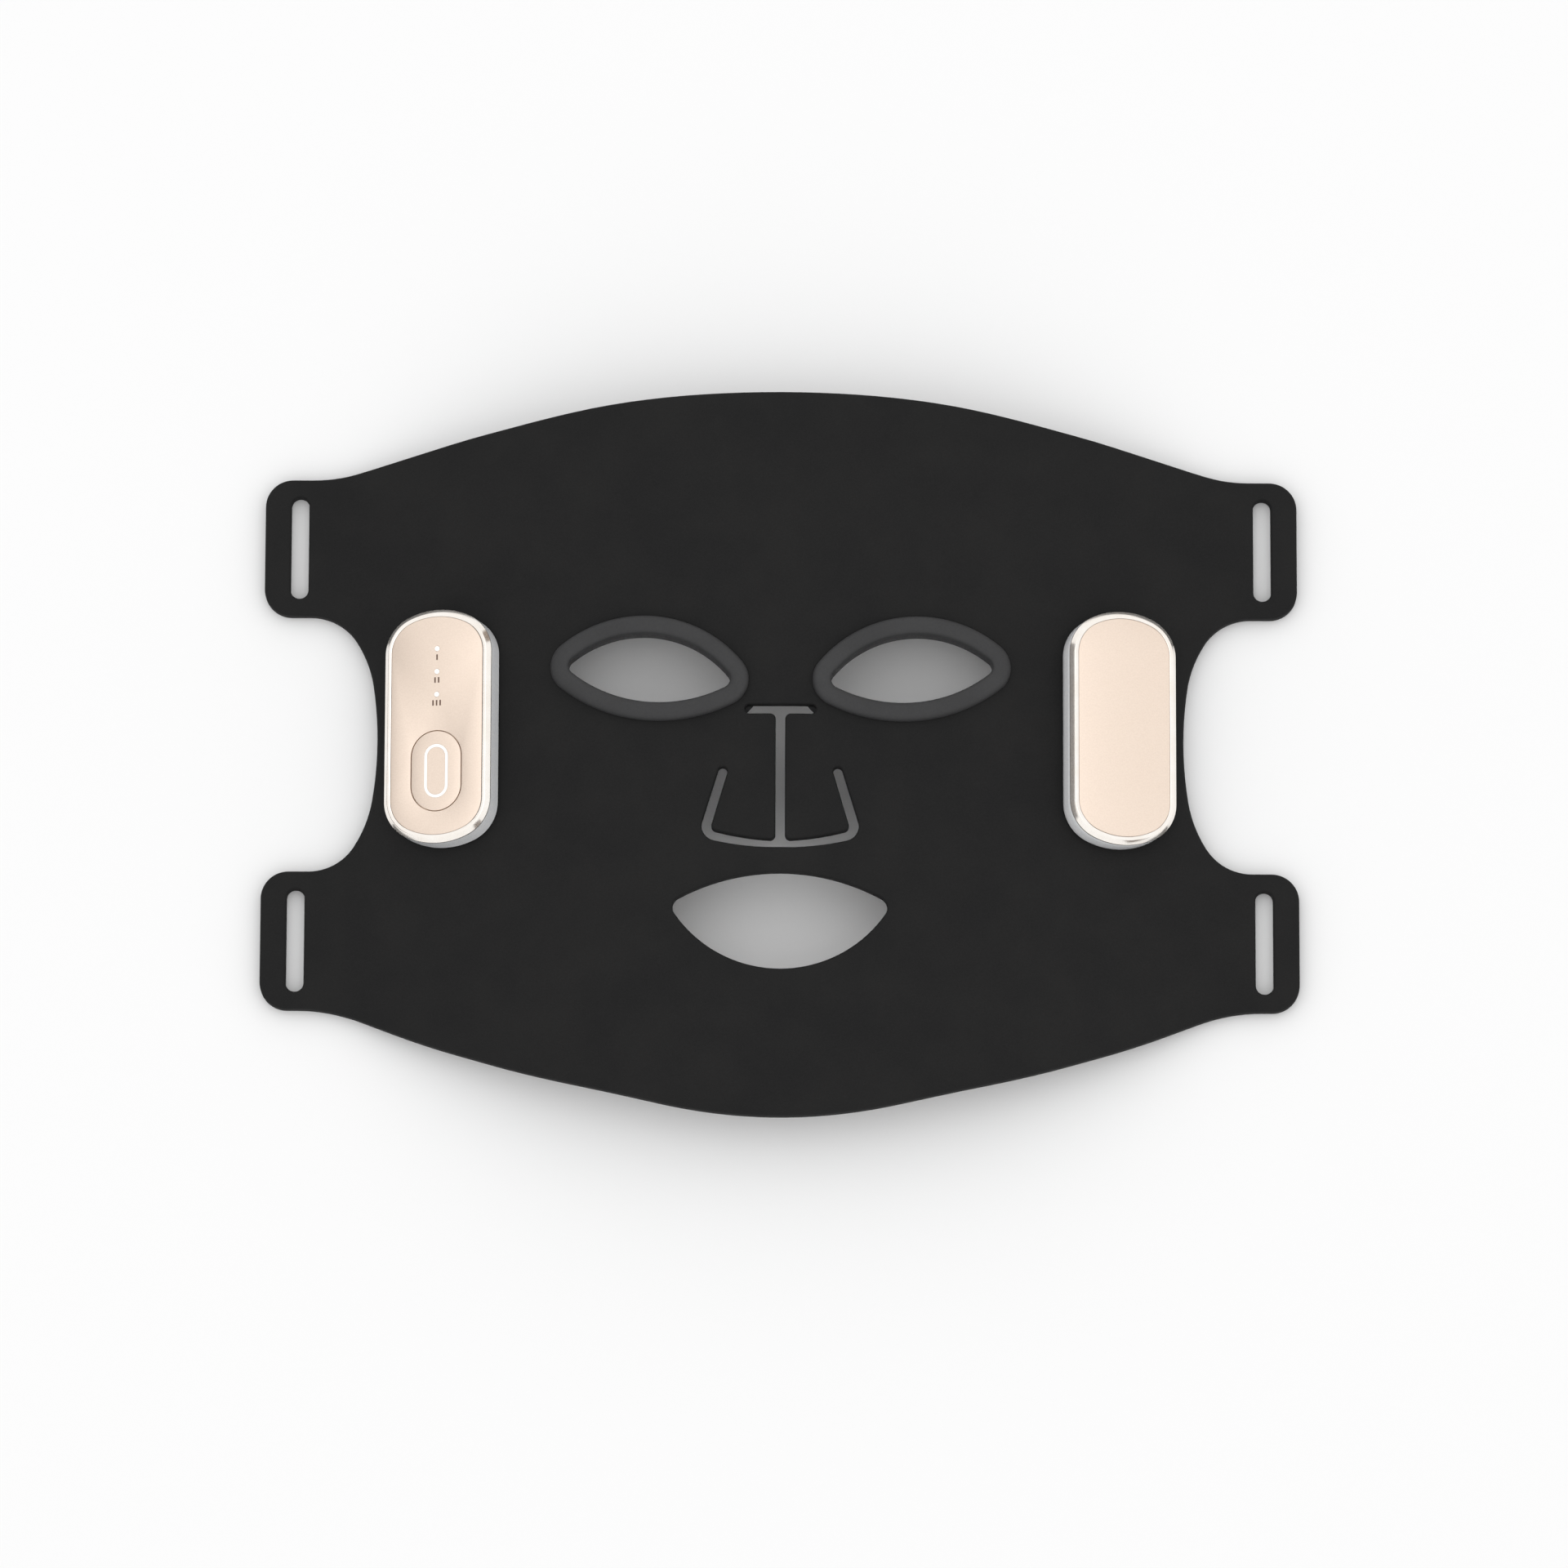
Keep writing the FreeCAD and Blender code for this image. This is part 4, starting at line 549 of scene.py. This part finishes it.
bezelMat = addGrain(newMaterial("champagne metal", (0.96, 0.91, 0.85), 0.15, metallic=0.8),
                    2400.0, 0.02, 0.00001, colours=((0.94, 0.88, 0.81), (0.98, 0.94, 0.89)),
                    colourScale=200.0, roughRange=(0.12, 0.2))
faceMat = addGrain(newMaterial("satin champagne", (0.90, 0.755, 0.64), 0.38, metallic=0.85),
                   5200.0, 0.10, 0.00002, colours=((0.88, 0.735, 0.62), (0.925, 0.78, 0.665)),
                   colourScale=2600.0, roughRange=(0.32, 0.46))
lightMat = addGrain(newMaterial("milky diffuser", (0.9, 0.89, 0.86), 0.35, emission=(1.0, 0.98, 0.94, 0.15)),
                    2500.0, 0.05, 0.00001, colours=((0.88, 0.87, 0.84), (0.93, 0.92, 0.89)))
markMat = addGrain(newMaterial("printed ink", (0.14, 0.08, 0.06), 0.6),
                   4000.0, 0.1, 0.00001, colours=((0.12, 0.07, 0.05), (0.17, 0.10, 0.07)), colourScale=2500.0)
boardMat = addGrain(newMaterial("solder mask", (0.02, 0.12, 0.05), 0.35, coat=0.3),
                    800.0, 0.1, 0.00002, colours=((0.015, 0.10, 0.04), (0.03, 0.15, 0.06)), colourScale=700.0)
plasticMat = addGrain(newMaterial("moulded black", (0.03, 0.03, 0.03), 0.5),
                      1800.0, 0.15, 0.00002, colours=((0.025, 0.025, 0.026), (0.036, 0.036, 0.036)))
steelMat = addGrain(newMaterial("stamped steel", (0.6, 0.6, 0.6), 0.3, metallic=1.0),
                    900.0, 0.1, 0.00001, stretch=(1, 12, 1), colours=((0.52, 0.52, 0.53), (0.66, 0.66, 0.65)),
                    roughRange=(0.25, 0.4))
foamMat = addGrain(newMaterial("closed-cell foam", (0.04, 0.04, 0.04), 0.95),
                   2600.0, 0.6, 0.0001, colours=((0.03, 0.03, 0.03), (0.055, 0.055, 0.055)),
                   colourScale=1500.0)
foilMat = addGrain(newMaterial("pouch foil", (0.7, 0.7, 0.72), 0.28, metallic=0.9),
                   300.0, 0.4, 0.0001, colours=((0.64, 0.64, 0.66), (0.76, 0.76, 0.77)),
                   roughRange=(0.2, 0.4))
emitterMats = {}
for colour, base, darker, lighter in (
    ("red", (0.75, 0.1, 0.06), (0.6, 0.06, 0.04), (0.85, 0.14, 0.08)),
    ("amber", (0.85, 0.55, 0.1), (0.75, 0.45, 0.06), (0.92, 0.63, 0.14)),
    ("blue", (0.08, 0.22, 0.8), (0.05, 0.16, 0.65), (0.11, 0.28, 0.9)),
):
    emitterMats[colour] = addGrain(newMaterial(colour + " emitter", base, 0.15, coat=0.8, coatRough=0.05),
                                   2000.0, 0.05, 0.00002, colours=(darker, lighter), colourScale=500.0)
print("materials ready")

# front skin: one sheet with a pocket behind the face, split where it bends
skinSet = {"edge": 0.7, "rim": 3.0, "face": 1.5, "grid": 4.0, "cut": 60.0,
           "foldStart": 62.0, "foldEnd": 76.0, "foldHeight": 12.3, "eyeGrow": 2.05,
           "bendCuts": (0.0, 0.8, 1.6, 2.5)}
gridX = [skinSet["grid"] * i + 0.013 for i in range(-34, 35)]
gridX = sorted(gridX + [side * (skinSet["cut"] + 2.013 + 4 * i) for i in range(5) for side in (-1, 1)])
gridY = [skinSet["grid"] * i + 0.017 for i in range(-24, 25)]
hinge = (Vector((9.35, 9.625, 0)), Vector((14.775, -5.8, 0)))  # the line on which the right nose flap bends
flapArea = {"low": -27.0, "high": 10.4, "cornerY": -23.56}


def buildSkin():
    s = skinSet
    bm = bmesh.new()
    edge, depth = s["edge"], sheet["depth"]
    top = roundedEdge(edge, 0.0)
    low = [(inset, -depth - z) for inset, z in reversed(roundedEdge(edge, 0.0))]
    outward = [(inset, z) for inset, z in top + low]
    holes = [lambda i, side=side: eyeShape(side)(s["eyeGrow"] + i) for side in (-1, 1)]
    holes += [mouthShape, noseShape] + strapSlots
    outer = loft(bm, lambda i: cornerArcs(outline, i), outward)
    inner = [loft(bm, hole, outward) for hole in holes]
    fill(bm, [outer[0]] + [loops[0] for loops in inner])
    # the pocket behind the face, which holds the circuit and the liner
    walls = [(s["rim"], -depth), (s["rim"], -s["face"])]
    pocket = loft(bm, pocketShape, walls)
    islands = [loft(bm, hole, walls) for hole in holes[:4]]
    fill(bm, [outer[-1], pocket[0]] + [loops[-1] for loops in inner[4:]])
    for rim, island in zip(inner[:4], islands):
        fill(bm, [rim[-1], island[0]])
    fill(bm, [pocket[-1]] + [island[-1] for island in islands])
    tidy(bm)
    return bm


def flapSide(face, side):
    # true for a face of the nose flap on that side
    c = face.calc_center_median()
    x = c.x * side
    if not (0 < x < nose["cornerX"] and flapArea["low"] < c.y < flapArea["high"]):
        return False
    a, b = hinge
    direction = (b - a).normalized()
    beyond = direction.cross(Vector((x, c.y, 0)) - a).z
    if beyond > 0:
        return False
    lowY = nose["lowY"] + nose["lowRadius"] - math.sqrt(nose["lowRadius"] ** 2 - x * x)
    flank = Vector(nose["flankTop"])
    down = (Vector((nose["cornerX"], flapArea["cornerY"])) - flank).normalized()
    outside = down.x * (c.y - flank.y) - down.y * (x - flank.x)
    return c.y > lowY and (c.y > flank.y or outside < 0)


def cutAtHinges(bm):
    # rows of cuts beside the hinge line of each nose flap
    a, b = hinge
    for side in (-1, 1):
        direction = Vector(((b - a).x * side, (b - a).y, 0)).normalized()
        normal = Vector((-direction.y, direction.x, 0))
        inwards = normal if normal.x * side < 0 else -normal
        for shift in skinSet["bendCuts"]:
            near = [f for f in bm.faces if shift == 0.0 or max(abs(v.co.x) for v in f.verts) < 40]
            cutNear(bm, near, Vector((a.x * side, a.y, 0)) + inwards * shift, normal)


def blendWing(bm, name, side, material, node):
    s = skinSet
    keepSide(bm, side * s["cut"], side)
    drape(bm)
    tidy(bm)
    piece = finishPiece(name, bm, None, material, [node], ride=False)
    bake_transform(piece)
    return piece


def blendFlap(bm, name, side, material, node):
    closeCuts(bm)
    drape(bm)
    tidy(bm)
    piece = finishPiece(name, bm, None, material, [node], ride=False)
    a, b = (Vector((p.x * side, p.y, 0)) for p in hinge)
    away = Vector((-(b - a).y, (b - a).x, 0)).normalized()
    if away.x * side > 0:
        away = -away
    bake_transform(piece)
    return piece


def splitSheet(bm, name, material, node, flapNodes):
    # one flat sheet becomes the middle, two wings and two nose flaps
    cutAtHinges(bm)
    gridCut(bm, gridX, gridY)
    tidy(bm)
    flaps = {}
    for side in (-1, 1):
        flaps[side] = bm.copy()
        others = [f for f in flaps[side].faces if not flapSide(f, side)]
        bmesh.ops.delete(flaps[side], geom=others, context="FACES")
    bmesh.ops.delete(bm, geom=[f for f in bm.faces if flapSide(f, -1) or flapSide(f, 1)], context="FACES")
    closeCuts(bm)
    made = {}
    for side, word, body in ((-1, "Left", "left_wing"), (1, "Right", "right_wing")):
        made[word] = blendWing(bm.copy(), name + word, side, material, node % body)
    keepSide(bm, skinSet["cut"], -1)
    keepSide(bm, -skinSet["cut"], 1)
    drape(bm)
    tidy(bm)
    made["Middle"] = finishPiece(name + "Middle", bm, "face_panel", material, [node % "centre"])
    for side, word, flapNode in ((-1, "Left", flapNodes[0]), (1, "Right", flapNodes[1])):
        body = word.lower() + "_nose_flap"
        word = "Flap" + word
        made[word] = blendFlap(flaps[side], name + word, side, material, flapNode)
    return made


skinPieces = splitSheet(buildSkin(), "skin", skinMat, "front_skin_%s",
                        ("nose_flap_left", "nose_flap_right"))
print("front skin made:", {k: len(p.data.polygons) for k, p in skinPieces.items()})

# circuit and liner inside the skin
layerSet = {
    "inset": 3.25,
    "flex": {"top": 1.65, "depth": 0.3},
    "liner": {"top": 3.0, "depth": 1.0},
    "window": (23.2, 55.2),
    "podPlace": (89.9, 6.5),
    "dome": {"radius": 2.1, "rise": 0.5, "sink": 0.08},
}


def rectangle(x, y, width, length, radius):
    w, l = width / 2, length / 2
    corners = [(x + w, y - l, radius), (x + w, y + l, radius), (x - w, y + l, radius), (x - w, y - l, radius)]
    return lambda grow: cornerArcs(corners, -grow)


def buildLayer(top, depth, windows):
    bm = bmesh.new()
    levels = [(0.0, -top), (0.0, -top - depth)]
    outer = loft(bm, lambda i: pocketShape(layerSet["inset"] + i), levels)
    grow = layerSet["inset"]
    holes = [lambda i, side=side: eyeShape(side)(skinSet["eyeGrow"] + grow + i) for side in (-1, 1)]
    holes += [lambda i: mouthShape(grow + i), lambda i: noseShape(grow + i)]
    if windows:
        x, y = layerSet["podPlace"]
        holes += [rectangle(side * x, y, *layerSet["window"], 1.0) for side in (-1, 1)]
    inner = [loft(bm, hole, levels) for hole in holes]
    for level in (0, 1):
        fill(bm, [outer[level]] + [loops[level] for loops in inner])
    tidy(bm)
    return bm


splitSheet(buildLayer(windows=True, **layerSet["flex"]), "flex", flexMat,
           "flex_circuit_%s", ("flex_circuit_left_flap", "flex_circuit_right_flap"))
splitSheet(buildLayer(windows=False, **layerSet["liner"]), "liner", linerMat,
           "rear_liner_%s", ("rear_liner_left_flap", "rear_liner_right_flap"))


def emitterPlaces(names):
    # middle of each emitter in the named CAD nodes, in millimetres
    places = []
    for name in names:
        bm = bmesh.new()
        bm.from_mesh(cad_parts[name].data)
        bmesh.ops.remove_doubles(bm, verts=bm.verts[:], dist=1e-6)
        left = set(bm.verts)
        while left:
            group, edge = set(), [left.pop()]
            while edge:
                v = edge.pop()
                group.add(v)
                near = [e.other_vert(v) for e in v.link_edges if e.other_vert(v) in left]
                left.difference_update(near)
                edge += near
            places.append(sum((v.co for v in group), Vector()) / len(group) * 1000)
        bm.free()
    return places


def buildDomes(names):
    # a shallow lens over each emitter, on the back of the liner
    d = layerSet["dome"]
    whole = bmesh.new()
    for place in emitterPlaces(names):
        before = set(whole.verts)
        bmesh.ops.create_uvsphere(whole, u_segments=12, v_segments=6, radius=1.0)
        made = [v for v in whole.verts if v not in before]
        geom = set(made) | {e for v in made for e in v.link_edges} | {f for v in made for f in v.link_faces}
        cut = bmesh.ops.bisect_plane(whole, geom=list(geom), dist=0.001, plane_co=(0, 0, 0),
                                     plane_no=(0, 0, 1), clear_outer=True)["geom_cut"]
        bmesh.ops.edgeloop_fill(whole, edges=[g for g in cut if isinstance(g, bmesh.types.BMEdge)])
        made = [v for v in whole.verts if v not in before]
        bmesh.ops.scale(whole, vec=(d["radius"], d["radius"], d["rise"] + d["sink"]), verts=made)
        level = topHeight(place.x, place.y) - sheet["depth"] + d["sink"]
        bmesh.ops.translate(whole, vec=(place.x, place.y, level), verts=made)
        for v in made:
            v.co.z += topHeight(v.co.x, v.co.y) - topHeight(place.x, place.y)
    bmesh.ops.recalc_face_normals(whole, faces=whole.faces[:])
    return whole


for word, body, ending in (("Middle", "face_panel", "centre"), ("Left", "left_wing", "left_wing"),
                           ("Right", "right_wing", "right_wing"), ("FlapLeft", "left_nose_flap", "left_flap"),
                           ("FlapRight", "right_nose_flap", "right_flap")):
    found = [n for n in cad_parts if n.startswith("emitters") and n.endswith(ending)]
    finishPiece("lenses" + word, buildDomes(found), body, linerMat)
print("circuit, liner and lenses made")

# eye cushions
cushion = {"ring": 5.0, "height": 2.2, "flange": 8.4, "waist": 1.9, "under": 4.15, "flangeDepth": 1.2}


def buildCushion(side):
    c = cushion
    low = -c["under"]
    base = low - c["flangeDepth"]
    # from the rear lip up the inside, over the ring, down the waist and back along the flange
    profile = [
        (0.45, base), (0.0, base + 0.45), (0.0, -1.5), (0.0, 0.9), (0.12, 1.45), (0.45, 1.85), (1.0, 2.08),
        (1.9, c["height"]), (3.0, c["height"] + 0.03), (3.9, 2.1), (4.5, 1.75), (4.88, 1.2),
        (c["ring"], 0.6), (c["ring"], 0.12), (4.85, 0.05), (3.8, 0.02), (2.8, -0.01), (c["waist"], -0.04),
        (c["waist"], low / 2), (c["waist"], low + 0.03), (3.2, low), (5.0, low - 0.03), (6.8, low - 0.06),
        (c["flange"] - 0.4, low - 0.1), (c["flange"], low - 0.5), (c["flange"] - 0.3, base + 0.12),
        (6.6, base + 0.09), (4.6, base + 0.06), (2.4, base + 0.03),
    ]
    bm = bmesh.new()
    loft(bm, eyeShape(side), profile, closed=True)
    tidy(bm)
    drape(bm)
    return bm


for side, word in ((-1, "left"), (1, "right")):
    finishPiece("eyeCushion" + word.title(), buildCushion(side), "face_panel", ringMat,
                ["eye_cushion_" + word], angle=50.0)
print("eye cushions made")

# pods
pod = {
    "x": 89.9, "y": 6.5, "width": 29.7, "length": 63.8, "endRadius": 20.0, "cornerRadius": 11.0,
    "gasketTop": 0.6, "wallTop": 7.2, "top": 9.0, "wall": 1.6,
    "chamfer": 1.2, "land": 2.1, "gap": 0.05, "plate": 1.0,
    "buttonY": -12.4, "buttonWidth": 14.2, "buttonLength": 22.1, "buttonGap": 0.2,
    "ringWidth": 6.7, "ringLength": 14.7, "ringLine": 0.9, "ringDepth": 0.5,
    "modeY": (21.0, 14.75, 8.5), "modeRadius": 0.7,
}


def podPlace(side):
    seat = Vector((side * pod["x"], pod["y"], crownTop - archDrop(pod["x"])))
    return Matrix.Translation(seat) @ Matrix.Rotation(side * slope, 4, "Y")


def podShape(inset):
    big, small = pod["endRadius"] - inset, pod["cornerRadius"] - inset
    width = pod["width"] / 2 - inset
    centre = pod["length"] / 2 - pod["endRadius"]
    turn = math.asin((width - small) / (big - small))
    side = centre + (big - small) * math.cos(turn)
    x = width - small
    quarter = math.pi / 2
    bigSteps, smallSteps = pod["endRadius"] * 2.5, pod["cornerRadius"] * 2.5
    return [
        arcBetween((x, side), small, 0, quarter - turn, smallSteps),
        arcBetween((0, centre), big, quarter - turn, quarter + turn, bigSteps),
        arcBetween((-x, side), small, quarter + turn, 2 * quarter, smallSteps),
        arcBetween((-x, -side), small, 2 * quarter, 3 * quarter - turn, smallSteps),
        arcBetween((0, -centre), big, 3 * quarter - turn, 3 * quarter + turn, bigSteps),
        arcBetween((x, -side), small, 3 * quarter + turn, 4 * quarter, smallSteps),
    ]


def buildBezel():
    p = pod
    low = p["wallTop"] + p["gap"]
    profile = [
        (0.15, low), (0.0, low + 0.1), (0.0, p["top"] - p["chamfer"] - 0.12),
        (0.03, p["top"] - p["chamfer"] - 0.02), (0.11, p["top"] - p["chamfer"] + 0.09),
        (0.6, p["top"] - 0.60), (p["chamfer"] - 0.16, p["top"] - 0.10),
        (p["chamfer"] - 0.06, p["top"] - 0.025), (p["chamfer"] + 0.04, p["top"]),
        (p["land"] - 0.14, p["top"] - 0.02), (p["land"] - 0.04, p["top"] - 0.06),
        (p["land"], p["top"] - 0.16),
        (p["land"], p["top"] - p["plate"] - 0.03), (p["land"] + 1.0, p["top"] - p["plate"] - 0.06),
        (p["land"] + 1.0, low + 0.03),
    ]
    bm = bmesh.new()
    loft(bm, podShape, profile, closed=True)
    tidy(bm)
    return bm


def buildPlate(control):
    p = pod
    edge = 0.12
    base = p["land"] + p["gap"]
    top = roundedEdge(edge, p["top"], parts=3, start=base)
    bm = bmesh.new()
    outer = loft(bm, podShape, top + [(base + 0.05, p["top"] - p["plate"])])
    holes = []
    if control:
        opening = stadium(0, p["buttonY"], p["buttonWidth"], p["buttonLength"])
        rounded = roundedEdge(0.15, p["top"], parts=3)
        holes.append(loft(bm, opening, rounded + [(0.0, p["top"] - p["plate"])]))
        for y in p["modeY"]:
            well = stadium(0, y, 2 * p["modeRadius"] + 0.1, 2 * p["modeRadius"] + 0.12)
            levels = [(0.08, p["top"]), (0.0, p["top"] - 0.08), (0.0, p["top"] - p["plate"])]
            holes.append(loft(bm, well, levels))
    fill(bm, [outer[0]] + [loops[0] for loops in holes])
    fill(bm, [outer[-1]] + [loops[-1] for loops in holes])
    tidy(bm)
    return bm


def buildButton():
    p = pod
    gap = p["buttonGap"]
    cap = stadium(0, p["buttonY"], p["buttonWidth"] - 2 * gap, p["buttonLength"] - 2 * gap)
    bm = bmesh.new()
    under = p["top"] - p["plate"] - 0.25
    sideProfile = [(-i, z) for i, z in roundedEdge(0.15, p["top"], parts=3)]
    sideProfile += [(0.0, under), (1.2 + gap, under - 0.03), (1.2 + gap, under - 0.8)]
    outer = loft(bm, cap, sideProfile)
    ringOuter = loft(bm, stadium(0, p["buttonY"], p["ringWidth"], p["ringLength"]),
                     [(0.03, p["top"]), (0.0, p["top"] - 0.05), (0.0, p["top"] - p["ringDepth"])])
    inner = stadium(0, p["buttonY"], p["ringWidth"] - 2 * p["ringLine"], p["ringLength"] - 2 * p["ringLine"])
    ringInner = loft(bm, inner, [(-0.03, p["top"]), (0.0, p["top"] - 0.05), (0.0, p["top"] - p["ringDepth"])])
    fill(bm, [outer[0], ringOuter[0]])
    fill(bm, [ringOuter[-1], ringInner[-1]])
    fill(bm, [ringInner[0]])
    fill(bm, [outer[-1]])
    tidy(bm)
    return bm


def buildHousing():
    # outer shell with a soft lower edge; the CAD tub stays inside it
    p = pod
    profile = [
        (0.6, p["gasketTop"]), (0.35, p["gasketTop"] + 0.06), (0.12, p["gasketTop"] + 0.25),
        (0.0, p["gasketTop"] + 0.6),
        (0.0, 3.0), (0.0, 5.0), (0.0, p["wallTop"] - 0.15), (0.04, p["wallTop"] - 0.04), (0.15, p["wallTop"]),
        (p["wall"], p["wallTop"] - 0.02), (p["wall"], p["gasketTop"] + 1.2),
    ]
    bm = bmesh.new()
    loops = loft(bm, podShape, profile)
    fill(bm, [loops[0]])
    fill(bm, [loops[-1]])
    tidy(bm)
    return bm


for side, word, body in ((-1, "control", "left_wing"), (1, "battery", "right_wing")):
    finishPiece(word + "Bezel", buildBezel(), body, bezelMat, [word + "_bezel"],
                35.0, podPlace(side))
    finishPiece(word + "FacePlate", buildPlate(side < 0), body, faceMat, [word + "_face_plate"],
                35.0, podPlace(side))
finishPiece("batteryShell", buildHousing(), "right_wing", pearlMat, ["battery_housing"],
            40.0, podPlace(1))
finishPiece("powerButton", buildButton(), "power_button", faceMat, ["button_cap"],
            35.0, podPlace(-1))
print("pods made")

# finishes of the nodes that stay as they come
finishes = [
    ("rear_liner", linerMat), ("flex_circuit", flexMat), ("emitters_red", emitterMats["red"]),
    ("emitters_amber", emitterMats["amber"]), ("emitters_blue", emitterMats["blue"]),
    ("emitters_left", emitterMats["red"]), ("emitters_right", emitterMats["red"]),
    ("control_housing", pearlMat), ("battery_housing", pearlMat), ("button_light_ring", lightMat),
    ("mode_light_pipes", lightMat), ("mode_light_chips", lightMat), ("mode_marks", markMat),
    ("control_board", boardMat), ("protection_board", boardMat), ("battery_cell", foilMat),
    ("battery_foam", foamMat), ("control_gasket", foamMat), ("battery_gasket", foamMat),
    ("control_clamp", steelMat), ("battery_clamp", steelMat), ("control_screws", steelMat),
    ("battery_screws", steelMat), ("charge_port_shell", steelMat), ("charge_port_tongue", plasticMat),
    ("control_ribbon_plug", plasticMat), ("battery_ribbon_plug", plasticMat),
    ("control_ribbon", flexMat), ("battery_ribbon", flexMat), ("tact_switch", plasticMat),
    ("switch_plunger", plasticMat), ("controller_chip", plasticMat),
]
for nodeName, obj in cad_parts.items():
    for start, mat in finishes:
        if nodeName.startswith(start):
            obj.data.materials.clear()
            obj.data.materials.append(mat)
            break

# floor and light
studio = {
    "floorSize": 12.0, "floorColour": (0.93, 0.93, 0.93),
    "world": 1.0, "key": 3.0, "keySize": 1.4, "keyPlace": (-0.1, 0.2, 2.2),
    "cards": [
        # azimuth from +Y clockwise, width, height, distance, tone: dark flags that only show in gloss
        {"at": 270, "width": 1.3, "height": 0.75, "far": 1.0, "tone": (0.10, 0.09, 0.085)},
        {"at": 45, "width": 0.35, "height": 0.55, "far": 0.9, "tone": (0.16, 0.10, 0.06)},
        {"at": 145, "width": 0.30, "height": 0.55, "far": 0.9, "tone": (0.10, 0.065, 0.045)},
    ],
}


def buildStage(s):
    bm = bmesh.new()
    bmesh.ops.create_grid(bm, x_segments=1, y_segments=1, size=s["floorSize"] / 2)
    mesh = bpy.data.meshes.new("floor")
    bm.to_mesh(mesh)
    bm.free()
    floor = bpy.data.objects.new("floor", mesh)
    scene.collection.objects.link(floor)
    floorMat = newMaterial("floor", s["floorColour"], 0.9, specular=0.1)
    mesh.materials.append(floorMat)
    world = bpy.data.worlds.new("studio")
    world.use_nodes = True
    world.node_tree.nodes["Background"].inputs["Color"].default_value = (1, 1, 1, 1)
    world.node_tree.nodes["Background"].inputs["Strength"].default_value = s["world"]
    scene.world = world
    lamp = bpy.data.lights.new("key", "AREA")
    lamp.shape, lamp.size = "DISK", s["keySize"]
    lamp.energy = s["key"]
    obj = bpy.data.objects.new("key", lamp)
    obj.location = s["keyPlace"]
    obj.rotation_mode = "QUATERNION"
    obj.rotation_quaternion = (-Vector(s["keyPlace"])).to_track_quat("-Z", "Y")
    scene.collection.objects.link(obj)
    for i, card in enumerate(s["cards"]):
        bm = bmesh.new()
        bmesh.ops.create_grid(bm, x_segments=1, y_segments=1, size=0.5)
        bmesh.ops.scale(bm, vec=(card["width"], card["height"], 1), verts=bm.verts[:])
        bmesh.ops.rotate(bm, matrix=Matrix.Rotation(math.radians(90), 3, "X"), verts=bm.verts[:])
        bmesh.ops.translate(bm, vec=(0, card["far"], card["height"] / 2 + 0.001), verts=bm.verts[:])
        bmesh.ops.rotate(bm, matrix=Matrix.Rotation(-math.radians(card["at"]), 3, "Z"), verts=bm.verts[:])
        mesh = bpy.data.meshes.new("flag%d" % i)
        bm.to_mesh(mesh)
        bm.free()
        mesh.materials.append(newMaterial("flag%d" % i, card["tone"], 1.0, specular=0.0))
        flag = bpy.data.objects.new("flag%d" % i, mesh)
        scene.collection.objects.link(flag)
        flag.visible_camera = flag.visible_diffuse = flag.visible_shadow = flag.visible_transmission = False
    scene.view_settings.view_transform = "Standard"


buildStage(studio)
print("studio ready")
